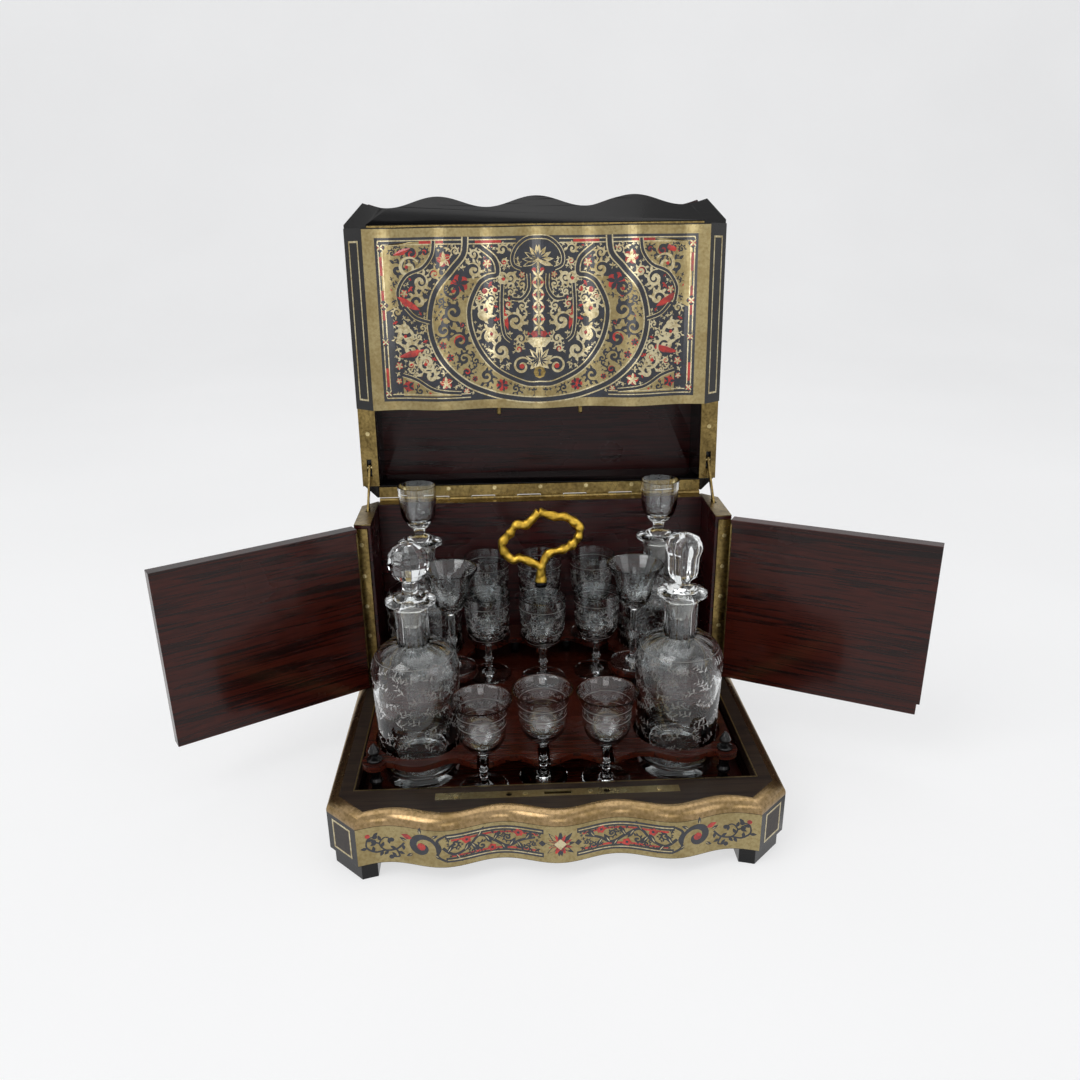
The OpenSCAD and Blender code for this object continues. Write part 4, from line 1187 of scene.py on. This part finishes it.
@dataclass(frozen=True)
class RailMarquetry:
    """The plinth's wavy front: brass ground with a framed band of scrolls and a fan in its middle."""

    front: WavyFront = WavyFront(146.0, -134.0)
    low: float = 14.0
    high: float = 46.0

    def place(self, u: float, v: float, lift: float) -> Vector:
        """Lays the drawing on the rail.

        Args:
            u: Place across, in mm.
            v: Height, in mm.
            lift: How far it stands proud, in mm.

        Returns:
            The point in metres.
        """
        x, y = self.front.point(u, lift)
        return spot(x, y, v)

    def build(self) -> None:
        """Builds the whole front."""
        sheet = Sheet("rail_marquetry", self.place)
        sheet.ground(BRASS_SHEET, self.front.level(self.low + 0.4), self.front.level(self.high - 0.3), 0.08)
        self.band(sheet)
        self.scroll(sheet)
        self.vine(sheet)
        sheet.build("case", "marquetry")
        self.cants()

    def band(self, sheet: Sheet) -> None:
        """Lays the framed band and its fan.

        Args:
            sheet: The rail's sheet.
        """
        for v in (20.4, 40.6):
            sheet.line(INLAY_DARK, (12, v), (82, v), 4.0, 0.13)
            sheet.line(INLAY_BRASS, (13, v), (81, v), 0.9, 0.17)
        for v in (23.7, 37.3):
            sheet.line(INLAY_RED, (16, v), (78, v), 1.6, 0.12)
        edge = [(82, 19.5), (88, 24), (86, 30.5), (88, 37), (82, 41.5)]
        sheet.ribbon(INLAY_DARK, smooth_path(edge), (1.6, 2.4, 1.6), 0.14)
        blocked = [((3, 30.5), 12.0)]
        waves = [(84, 31), (76, 25), (66, 29), (58, 37), (48, 31), (38, 25), (28, 31), (18, 35)]
        vine = smooth_path(waves)
        sheet.ribbon(INLAY_DARK, vine, (2.4, 2.0, 2.4, 1.6), 0.15)
        for i in range(3, len(vine) - 2, 4):
            hand = 1 if (i // 4) % 2 else -1
            sheet.leaf(INLAY_DARK, vine[i], 180 + hand * 50, 8.5, 3.8, 0.14, hand * 1.2)
            sheet.leaf(INLAY_BRASS, vine[i], 180 + hand * 50, 5.0, 0.8, 0.19, hand * 0.7)
            blocked += [(vine[i], 3.4)]
        for centre in ((67, 36), (49, 24.5), (30, 37)):
            sheet.disc(INLAY_RED, centre, 3.4, 0.17, 5)
            sheet.disc(INLAY_DARK, centre, 1.1, 0.21)
            blocked += [(centre, 3.6)]
        blocked += [(point, 1.4) for point in vine]
        scrolls = ScrollFill(sheet, 3, blocked, (12.0, 82.0, 21.6, 39.4), (0.9, 4.0), 3000)
        scrolls.build(lambda point: INLAY_DARK)
        for i in range(5):
            angle = 90 - 45 * i
            sheet.leaf(INLAY_DARK, (0.3, 30.5), angle, 12.5 if i % 2 else 10.5, 3.6, 0.15, 0.8)
            sheet.leaf(INLAY_RED, (0.3, 30.5), angle - 22, 9.0, 2.6, 0.16)
        sheet.ground(INLAY_BRASS, [(0, 26), (0, 30.5), (0, 35)], [(0.2, 26), (4.6, 30.5), (0.2, 35)], 0.22)
        sheet.disc(INLAY_DARK, (13, 30.5), 2.4, 0.16, 4)

    def scroll(self, sheet: Sheet) -> None:
        """Lays the large leafy scroll at each end of the band.

        Args:
            sheet: The rail's sheet.
        """
        path = spiral_path((99, 31), 11.5, 200, 1.15, -1)
        sheet.ribbon(INLAY_DARK, path, (1.4, 5.0, 5.2, 2.4), 0.14)
        sheet.disc(INLAY_RED, (99.5, 31), 3.2, 0.17)
        sheet.leaf(INLAY_RED, (106, 37), 10, 8.0, 4.4, 0.17, 1.0)
        for base, angle in (((90, 25), 215), ((92, 39), 140), ((106, 24), -40), ((110, 34), 20),
                            ((100, 41.5), 80)):
            sheet.leaf(INLAY_DARK, base, angle, 5.8, 2.6, 0.15, 0.8)
            sheet.leaf(INLAY_BRASS, base, angle, 3.6, 0.7, 0.19)

    def vine(self, sheet: Sheet) -> None:
        """Lays the thin vine that runs out to the rail's end.

        Args:
            sheet: The rail's sheet.
        """
        paths = [smooth_path([(112, 32), (118, 26), (126, 25), (130, 31), (126, 36), (121, 34)], 1.2),
                 smooth_path([(126, 25), (133, 24), (139, 29), (138, 36), (133, 37)], 1.2),
                 smooth_path([(130, 31), (134, 33)], 1.2),
                 smooth_path([(118, 26), (116, 20), (122, 19)], 1.2)]
        for path in paths:
            sheet.ribbon(INLAY_DARK, path, (1.5, 1.3, 0.9), 0.13)
            for i in range(2, len(path) - 1, 5):
                hand = 1 if (i // 5) % 2 else -1
                (u0, v0), (u1, v1) = path[i - 1], path[i]
                heading = math.degrees(math.atan2(v1 - v0, u1 - u0))
                sheet.leaf(INLAY_DARK, path[i], heading + hand * 55, 5.0, 2.7, 0.14, 0.6)
            sheet.disc(INLAY_DARK, path[-1], 1.9, 0.15)
        sheet.disc(INLAY_RED, (138, 38.5), 1.8, 0.16)

    def cants(self) -> None:
        """Lays a square panel of stringing on both cants."""
        for name, side in CANTS.items():
            sheet = Sheet(f"rail_cant_{name}", lambda u, v, lift, side=side: spot(
                *on_cant(side, (158, -122), u, lift), v), False)
            sheet.ground(LEDGE_WOOD, [(-9.5, 19.0), (-9.5, 41.5)], [(9.5, 19.0), (9.5, 41.5)], 0.06)
            sheet.frame(INLAY_BRASS, -10.8, 10.8, 17.8, 42.8, 1.6, 0.1)
            sheet.build("case", "marquetry")


@dataclass(frozen=True)
class LedgeLine:
    """The pale line of stringing along the inner edge of the ledge."""

    top: float = 55.0

    def build(self) -> None:
        """Lays the line on three sides of the well."""
        sheet = Sheet("ledge_stringing", lambda u, v, lift: spot(u, v, self.top + lift))
        sheet.line(BRASS_SHEET, (0, -98.9), (150, -98.9), 1.3, 0.08)
        sheet.line(BRASS_SHEET, (150.7, -99.5), (150.7, 66), 1.1, 0.08)
        sheet.build("case", "brass")


@dataclass(frozen=True)
class QuarterMoulding:
    """The smooth brass quarter round that runs round the plinth's top edge; sizes in mm."""

    size: float = 9.0
    low: float = 46.0
    end: float = 123.0
    side: float = 170.0
    cant: float = 24.0
    front: float = -134.0
    mitre: float = 0.41
    fillet: float = 0.8
    steps: int = 70

    def path(self, inset: float) -> list[Point]:
        """Follows the plinth's plan.

        Args:
            inset: Distance in from the plinth's face, in mm.

        Returns:
            Points in plan, in mm.
        """
        side, cant = self.side - inset, self.cant - inset * self.mitre
        face = WavyFront(side - cant, self.front + inset)
        run = [face.point(face.half * i / self.steps, 0.0) for i in range(-self.steps, self.steps + 1)]
        corner = face.front + cant
        return [(-side, self.end), (-side, corner)] + run + [(side, corner), (side, self.end)]

    def build(self) -> None:
        """Sweeps the profile round the plinth."""
        start, rise = self.low + self.fillet, self.size - self.fillet
        angles = [math.radians(a) for a in range(0, 91, 9)]
        rounds = [(self.size * (1 - math.cos(a)), start + rise * math.sin(a)) for a in angles]
        profile = [(self.size, self.low), (0.0, self.low)] + rounds
        rows = [[(x, y, z) for x, y in self.path(inset)] for inset, z in profile]
        vertices = [spot(*p) for row in rows for p in row]
        width = len(rows[0])
        faces = []
        for i in range(len(rows)):
            a, b = i * width, (i + 1) % len(rows) * width
            faces += [(a + k, a + k + 1, b + k + 1, b + k) for k in range(width - 1)]
        faces.append(tuple(i * width for i in range(len(rows))))
        faces.append(tuple(i * width + width - 1 for i in reversed(range(len(rows)))))
        piece = mesh_object("quarter_moulding", vertices, faces, BRASS_MOULDING, True)
        split_edges(piece, 35)
        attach(piece, "case")
        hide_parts("plinth_moulding")


@dataclass(frozen=True)
class Turned:
    """A turned or cut piece of glass, made from its half section."""

    name: str
    profile: tuple[Point, ...]
    centre: tuple[float, float, float]
    finish: Finish = GLASS
    segments: int = 64
    flat: bool = False
    lobes: int = 0
    depth: float = 0.0
    lobed: tuple[float, float] = (0.0, 0.0)
    flute_from: float = 9.5

    def radius(self, r: float, z: float, angle: float) -> float:
        """Cuts flutes into a height range of the section.

        Args:
            r: Radius of the plain section, in mm.
            z: Height in the section, in mm.
            angle: Angle round the axis, in radians.

        Returns:
            The cut radius, in mm.
        """
        if not self.lobes or r < self.flute_from or not self.lobed[0] <= z <= self.lobed[1]:
            return r
        return r - self.depth * abs(math.cos(self.lobes * angle / 2)) ** 3

    def build(self, body: str, *nodes: str) -> bpy.types.Object:
        """Makes the piece.

        Args:
            body: Body that it moves with.
            nodes: CAD nodes that it stands for.

        Returns:
            The finished object.
        """
        x0, y0, z0 = self.centre
        vertices, rings = [], []
        for r, z in self.profile:
            if r < 0.01:
                rings.append([len(vertices)])
                vertices.append(spot(x0, y0, z0 + z))
                continue
            ring = []
            for i in range(self.segments):
                a = math.tau * i / self.segments
                cut = self.radius(r, z, a)
                ring.append(len(vertices))
                vertices.append(spot(x0 + cut * math.cos(a), y0 + cut * math.sin(a), z0 + z))
            rings.append(ring)
        faces = []
        for low, high in zip(rings, rings[1:]):
            for i in range(self.segments):
                j = (i + 1) % self.segments
                if len(low) == 1 and len(high) > 1:
                    faces.append((low[0], high[j], high[i]))
                elif len(high) == 1 and len(low) > 1:
                    faces.append((low[i], low[j], high[0]))
                elif len(low) > 1:
                    faces.append((low[i], low[j], high[j], high[i]))
        piece = mesh_object(self.name, vertices, faces, self.finish, not self.flat)
        if not self.flat:
            split_edges(piece, 50)
        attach(piece, body)
        if nodes:
            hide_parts(*nodes)
        return piece


def arc_profile(r0: float, r1: float, z0: float, z1: float, count: int = 12) -> list[Point]:
    """Makes a quarter of an ellipse.

    Args:
        r0: Radius at its lower end, in mm.
        r1: Radius at its upper end, in mm.
        z0: Height of its lower end, in mm.
        z1: Height of its upper end, in mm.
        count: Number of steps.

    Returns:
        Its points.
    """
    turns = [math.pi / 2 * i / count for i in range(count + 1)]
    return [(r1 + (r0 - r1) * math.cos(a), z0 + (z1 - z0) * math.sin(a)) for a in turns]


@dataclass
class Engraving:
    """Wheel-engraved sprays on a surface of revolution; pitches and jitter are in leaf lengths."""

    name: str
    centre: tuple[float, float, float]
    radius: Callable[[float], float]
    low: float
    high: float
    leaf: float
    seed: int
    row_pitch: float = 1.05
    spray_pitch: float = 1.55
    jitter: float = 0.3
    joints: int = 6
    stem_half: float = 0.14
    line_half: float = 0.25
    least_radius: float = 6.0

    def place(self, u: float, v: float, lift: float) -> Vector:
        """Wraps the drawing round the glass.

        Args:
            u: Angle in degrees.
            v: Height in mm.
            lift: How far it stands proud, in mm.

        Returns:
            The point in metres.
        """
        r = self.radius(v) + lift
        a = math.radians(u)
        return spot(self.centre[0] + r * math.cos(a), self.centre[1] + r * math.sin(a), self.centre[2] + v)

    def build(self, body: str) -> None:
        """Engraves rows of leaf sprays with a line above and below.

        Args:
            body: Body that the glass belongs to.
        """
        sheet = Sheet(self.name, self.place, False)
        dice = random.Random(self.seed)
        rows = max(1, round((self.high - self.low) / (self.leaf * self.row_pitch)))
        for row in range(rows):
            middle = self.low + (row + 0.5) * (self.high - self.low) / rows
            count = max(6, round(math.tau * self.radius(middle) / (self.leaf * self.spray_pitch)))
            for i in range(count):
                v = middle + dice.uniform(-self.jitter, self.jitter) * self.leaf
                u = (i + 0.5 * (row % 2) + dice.uniform(-self.jitter, self.jitter)) * 360 / count
                self.spray(sheet, u, v, dice)
        for v in (self.low - 1.6, self.high + 1.6):
            if self.radius(v) > self.least_radius:
                low, high = v - self.line_half, v + self.line_half
                for u in range(0, 360, 6):
                    sheet.face(ENGRAVED, [(u, low), (u + 6, low), (u + 6, high), (u, high)], 0.06)
        sheet.build(body, "glass")

    def spray(self, sheet: Sheet, u: float, v: float, dice: random.Random) -> None:
        """Engraves one bent stem with leaves on both sides.

        Args:
            sheet: Sheet that gets the spray.
            u: Angle of its middle, in degrees.
            v: Height of its middle, in mm.
            dice: Source of its variations.
        """
        degree = math.degrees(1 / self.radius(v))
        heading = dice.choice((0, 180)) + dice.uniform(-50, 50)
        bend = dice.choice((1, -1)) * dice.uniform(30, 70)
        turn, at = math.radians(heading), heading - bend / 2
        stem = [(-self.leaf * 0.5 * math.cos(turn), -self.leaf * 0.5 * math.sin(turn))]
        for _ in range(self.joints):
            at += bend / self.joints
            stem.append((stem[-1][0] + self.leaf * 0.19 * math.cos(math.radians(at)),
                         stem[-1][1] + self.leaf * 0.19 * math.sin(math.radians(at))))

        def wrap(corners: list[Point]) -> list[Point]:
            """Turns mm from the spray's middle into degrees and height, within the engraved band.

            Args:
                corners: Corners in mm.

            Returns:
                The same corners on the glass.
            """
            return [(u + du * degree, min(max(v + dv, self.low - 1), self.high + 1)) for du, dv in corners]

        h = self.stem_half
        for (a, b), (c, d) in zip(stem, stem[1:]):
            sheet.face(ENGRAVED, wrap([(a, b - h), (c, d - h), (c, d + h), (a, b + h)]), 0.05)
        for index, base in enumerate(stem[1:]):
            side = 1 if index % 2 else -1
            length = self.leaf * (0.5 - 0.045 * index)
            angle = heading + side * 48 + bend * (index / self.joints - 0.5)
            outline = leaf_outline(base, angle, length, length * 0.3, side * length * 0.12)
            sheet.face(ENGRAVED, wrap(outline), 0.06)


# The decanters, in mm: where each stands from the plinth's middle, how high its foot and its lip are above
# the table, and the radius of the bore in its neck
DECANTER_PLACES = {"front_left": (-105.0, -47.5), "front_right": (98.0, -47.5),
                   "rear_left": (-107.5, 78.5), "rear_right": (100.5, 78.5)}
BASE_TOP = 38.05
LIP_TOP = 187.05
NECK_BORE = 8.7


@dataclass(frozen=True)
class Decanters:
    """Four decanters that taper to the base, with fluted necks, flat lips and cut bodies; sizes in mm."""

    base: float = 30.6
    flare: float = 3.0
    shoulder: float = 91.0
    shoulder_rise: float = 22.0
    neck: float = 12.5
    shoulder_reach: float = 21.1

    def outside(self, z: float) -> float:
        """Finds the outer radius at a height.

        Args:
            z: Height above the foot, in mm.

        Returns:
            The radius in mm.
        """
        if z <= self.shoulder:
            return self.base + self.flare * z / self.shoulder
        above = min(1.0, (z - self.shoulder) / self.shoulder_rise)
        return self.neck + self.shoulder_reach * math.sqrt(1 - above ** 2)

    def build(self) -> None:
        """Makes every decanter."""
        body = [(self.base + self.flare * t / 10, 1.5 + 89.5 * t / 10) for t in range(1, 10)]
        foot = [(0, 1.2), (20, 1.0), (27.5, 0.0), (29.4, 0.2), (30.6, 1.5)]
        neck = [(12.5, 118), (12.5, 126), (12.3, 134), (12.6, 140), (13.6, 143.2), (17.8, 145.6),
                (19.0, 146.6), (19.0, 147.8), (18.0, 148.7), (12, 149.0), (NECK_BORE, 149.0), (NECK_BORE, 117)]
        inner = arc_profile(31.2, NECK_BORE, 90, 110.6)[::-1] + [(28.4, 12), (25, 7.2), (16, 6), (0, 6.6)]
        profile = foot + body + arc_profile(33.6, 12.5, 91, 113) + neck + inner
        for name, (x, y) in DECANTER_PLACES.items():
            node = f"decanter_{name}"
            centre = (x, y, BASE_TOP)
            Turned(f"cut_{node}", tuple(profile), centre, segments=96, lobes=12, depth=1.1,
                   lobed=(106, 139)).build(node, node)
            Engraving(f"engraved_{node}", centre, self.outside, 22.0, 102.0, 9.6, 11).build(node)


@dataclass(frozen=True)
class Stoppers:
    """Four stoppers: a faceted ball, a panelled one and two hollow cups, all on ground pegs."""

    def build(self) -> None:
        """Makes every stopper."""
        for name in DECANTER_PLACES:
            self.peg(name)
        collar = [(0, 0.06), (12.0, 0.06), (12.2, 1.0), (11.6, 2.0)]
        self.head("front_left", collar + [(6.5, 3.4), (5.6, 5.5), (5.4, 9.5), (5.8, 13.4), (0, 13.4)])
        ball = [(0, 13.5), (5.8, 13.5), (10.6, 17.2), (14.4, 22.4), (15.6, 28.4), (14.4, 34.6), (10.5, 39.6),
                (5, 43), (0, 44)]
        self.head("front_left", ball, segments=14, flat=True)
        panelled = [(5, 5), (6, 8), (10.5, 12), (11.5, 17), (11.6, 22), (12, 28), (13.6, 32), (14, 35),
                    (13, 38.5), (11, 41.5), (6, 44), (0, 44.5)]
        self.head("front_right", collar + panelled, segments=96, lobes=8, depth=1.5, lobed=(10, 40))
        cup = [(4.5, 6), (5, 11), (10, 15), (14, 22), (15.2, 28), (15.6, 33), (16.2, 42), (16.6, 48),
               (16.6, 49.5), (15.4, 49.5), (14.9, 42), (14.3, 33), (12.6, 23), (9, 18), (4, 15.5), (0, 15)]
        for name in ("rear_left", "rear_right"):
            self.head(name, collar + cup)

    def peg(self, name: str) -> None:
        """Makes a ground peg.

        Args:
            name: Place of its decanter.
        """
        x, y = DECANTER_PLACES[name]
        profile = ((0, -22), (5.9, -22), (6.1, -21.6), (7, -12), (8.2, -1), (8.2, 0.0), (0, 0.0))
        node = f"stopper_{name}"
        Turned(f"peg_{name}", profile, (x, y, LIP_TOP), GROUND).build(node, node)

    def head(self, name: str, profile: list[Point], **cut) -> None:
        """Makes a stopper's head.

        Args:
            name: Place of its decanter.
            profile: Its half section, in mm.
            cut: How it is cut.
        """
        x, y = DECANTER_PLACES[name]
        node = f"stopper_{name}"
        Turned(f"head_{name}", tuple(profile), (x, y, LIP_TOP), **cut).build(node, node)


@dataclass(frozen=True)
class GlassEngraving:
    """Sprays engraved round the bowls of the goblets, and lighter ones on the coupes."""

    goblet_radius: float = 20.2
    coupe_radius: float = 23.6

    def build(self) -> None:
        """Engraves every glass."""
        for index, name in enumerate(sorted(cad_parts)):
            if not name.startswith(("goblet", "coupe_front")):
                continue
            # Middle of its foot, in mm from the middle of the plinth
            low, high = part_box(name)
            centre = ((low[0] + high[0]) * 500, (low[1] + high[1]) * 500 + ORIGIN_BACK, low[2] * 1000)
            if name.startswith("goblet"):
                Engraving(f"engraved_{name}", centre, self.goblet, 40.0, 68.0, 7.4, 20 + index).build(name)
            else:
                Turned(f"blown_{name}", tuple(self.coupe_section()), centre).build(name, name)
                Engraving(f"engraved_{name}", centre, self.coupe, 60.0, 66.0, 4.6, 20 + index).build(name)

    def coupe_section(self) -> list[Point]:
        """Draws the half section of a front coupe: foot, stem with a knop, and a bell with a flared rim.

        Returns:
            Its points from the foot's centre round to the inside of the bowl.
        """
        stem = [(0, 0.3), (12, 0.2), (18.8, 0.0), (19.4, 0.5), (18.8, 1.3), (12, 2.1), (7, 3.0), (4.2, 5.2),
                (2.9, 8.5), (2.7, 14), (2.9, 15.2), (4.1, 16.6), (2.9, 18.2), (2.6, 20), (2.7, 27),
                (3.4, 30.5), (5.0, 32.4)]
        heights = [34, 36, 39, 42.5, 46.5, 51, 55, 59, 63, 67, 70, 73, 75.5, 77.2]
        outside = [(max(self.coupe(z), 6.0), z) for z in heights]
        within = [(self.coupe(z) - 1.1, z + (0 if z > 45 else 1.2)) for z in reversed(heights[1:])]
        return stem + outside + [(self.coupe_radius, 77.9), (23.0, 78.0)] + within + [(4.0, 35.8), (0, 35.4)]

    def goblet(self, z: float) -> float:
        """Finds a goblet's outer radius.

        Args:
            z: Height above its foot, in mm.

        Returns:
            The radius in mm.
        """
        t = max(0.02, (z - 30) / 48)
        return self.goblet_radius * (0.88 + 0.12 * t) * (math.sqrt(1 - (1 - t / 0.4) ** 2) if t < 0.4 else 1.0)

    def coupe(self, z: float) -> float:
        """Finds a bell-shaped coupe's outer radius.

        Args:
            z: Height above its foot, in mm.

        Returns:
            The radius in mm.
        """
        t = max(0.02, (z - 32) / 46)
        if t < 0.45:
            return self.coupe_radius * 0.78 * math.sqrt(1 - (1 - t / 0.45) ** 2)
        return self.coupe_radius * (0.78 + 0.22 * ((t - 0.45) / 0.55) ** 3.2)


@dataclass(frozen=True)
class BranchHandle:
    """The gilt handle: a branch bent into a loop that swells at its knots; sizes in mm."""

    girth: float = 3.35
    knot: float = 0.75
    knot_length: float = 2.6
    root: float = 1.6
    sides: int = 18
    foot: tuple[float, float, float] = (-3.5, 67.2, 150.05)
    limbs: tuple[tuple[Point, ...], ...] = (
        ((0, 0), (0.4, 7), (1, 14), (6.5, 25), (19.6, 29.3), (27.4, 33.5), (33, 41), (33.5, 49), (29.7, 53.5),
         (21.8, 58.8), (13, 59.4), (-1, 64)),
        ((0, 0), (0, 7), (0, 13), (-8.3, 18.2), (-18.2, 22.3), (-23.9, 20.6), (-31, 28), (-32.6, 37),
         (-25.9, 45), (-20.4, 52.5), (-12.6, 52.5), (-7, 57), (-1, 64)))

    def build(self) -> None:
        """Makes the loop with its knots."""
        vertices, faces = [], []
        for index, limb in enumerate(self.limbs):
            path = smooth_path(list(limb), 1.2)
            self.tube(path, limb, index, vertices, faces)
        piece = mesh_object("gilt_branch", [spot(*v) for v in vertices], faces, GILT, True)
        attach(piece, "stand")
        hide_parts("branch_handle")

    def tube(self, path: list[Point], knots: tuple[Point, ...], index: int, vertices: list,
             faces: list) -> None:
        """Adds one limb.

        Args:
            path: Its middle line, in mm.
            knots: Places where it swells.
            index: Number of the limb, which turns its bark.
            vertices: Corner list that it adds to.
            faces: Face list that it adds to.
        """
        sides, first = self.sides, len(vertices)
        for i, (u, w) in enumerate(path):
            across = square_to(path, i)
            near = min(math.dist((u, w), k) for k in knots[2:])
            root = max(0.0, 1 - i / 10)
            swell = self.girth + self.knot * math.exp(-(near / self.knot_length) ** 2) + self.root * root
            for j in range(sides):
                a = math.tau * j / sides
                r = swell * (1 + 0.08 * math.sin(2 * a + i * 0.35 + index) + 0.05 * math.sin(5 * a - i * 0.9)
                             + 0.06 * math.sin(i * 0.83 + 2 * index))
                vertices.append((self.foot[0] + u + across[0] * r * math.cos(a),
                                 self.foot[1] + r * math.sin(a),
                                 self.foot[2] + w + across[1] * r * math.cos(a)))
        for i in range(len(path) - 1):
            for j in range(sides):
                k = (j + 1) % sides
                a, b = first + i * sides, first + (i + 1) * sides
                faces.append((a + j, a + k, b + k, b + j))
        faces.append(tuple(first + j for j in reversed(range(sides))))
        faces.append(tuple(first + (len(path) - 1) * sides + j for j in range(sides)))


# Finish of each CAD node; those not named here are glass or plain brass, told by their names
NODE_FINISHES = {
    ROSEWOOD: ["left_door", "right_door"],
    ROSEWOOD_DEEP: ["back_panel", "left_post", "right_post", "plinth_floor", "lid_top_board"],
    EBONISED: ["feet", "plinth_front_rail", "plinth_side_rails", "plinth_back_rail", "flap_panel",
               "lid_front_rail", "lid_side_rails", "lid_back_rail", "stand_columns", "handle_post"],
    LEDGE_WOOD: ["ledge_frame"],
    STAND_WOOD: ["stand_base", "stand_gallery", "stand_shelf"],
    BRASS_MOULDING: ["plinth_moulding"],
    BRASS_SHEET: ["lock_strip"],
    SCREW_BRASS: ["case_screws", "lid_screws"],
    GILT: ["branch_handle"],
}


@dataclass(frozen=True)
class CarriedNodes:
    """CAD nodes that stay as they are and only get a finish and softened edges."""

    edge_mm: float = 0.5
    weld_mm: float = 0.01
    edge_from: float = 40.0

    def build(self) -> None:
        """Gives every node its finish."""
        chosen = {name: finish for finish, names in NODE_FINISHES.items() for name in names}
        for name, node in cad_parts.items():
            finish = chosen.get(name)
            if finish is None:
                finish = GLASS if name.startswith(("decanter", "stopper", "coupe", "goblet")) else BRASS
            node.data.materials.clear()
            node.data.materials.append(finish.material())
            if isinstance(finish, PolishedWood):
                self.soften(node)

    def soften(self, node: bpy.types.Object) -> None:
        """Rounds a node's sharp edges a little.

        Args:
            node: The CAD node's object.
        """
        weld = node.modifiers.new("weld", "WELD")
        weld.merge_threshold = self.weld_mm * MM
        bevel = node.modifiers.new("edges", "BEVEL")
        bevel.width = self.edge_mm * MM
        bevel.segments = 2
        bevel.limit_method = "ANGLE"
        bevel.angle_limit = math.radians(self.edge_from)
        bevel.harden_normals = True


def main() -> None:
    """Builds the whole scene."""
    logging.basicConfig(level=logging.INFO)
    for kind in (Camera, Studio, CarriedNodes, FlapMarquetry, RailMarquetry, LedgeLine, QuarterMoulding,
                 Decanters, Stoppers, GlassEngraving, BranchHandle):
        kind().build()
        LOG.info("built %s", kind.__name__)


if __name__ == "__main__":
    main()
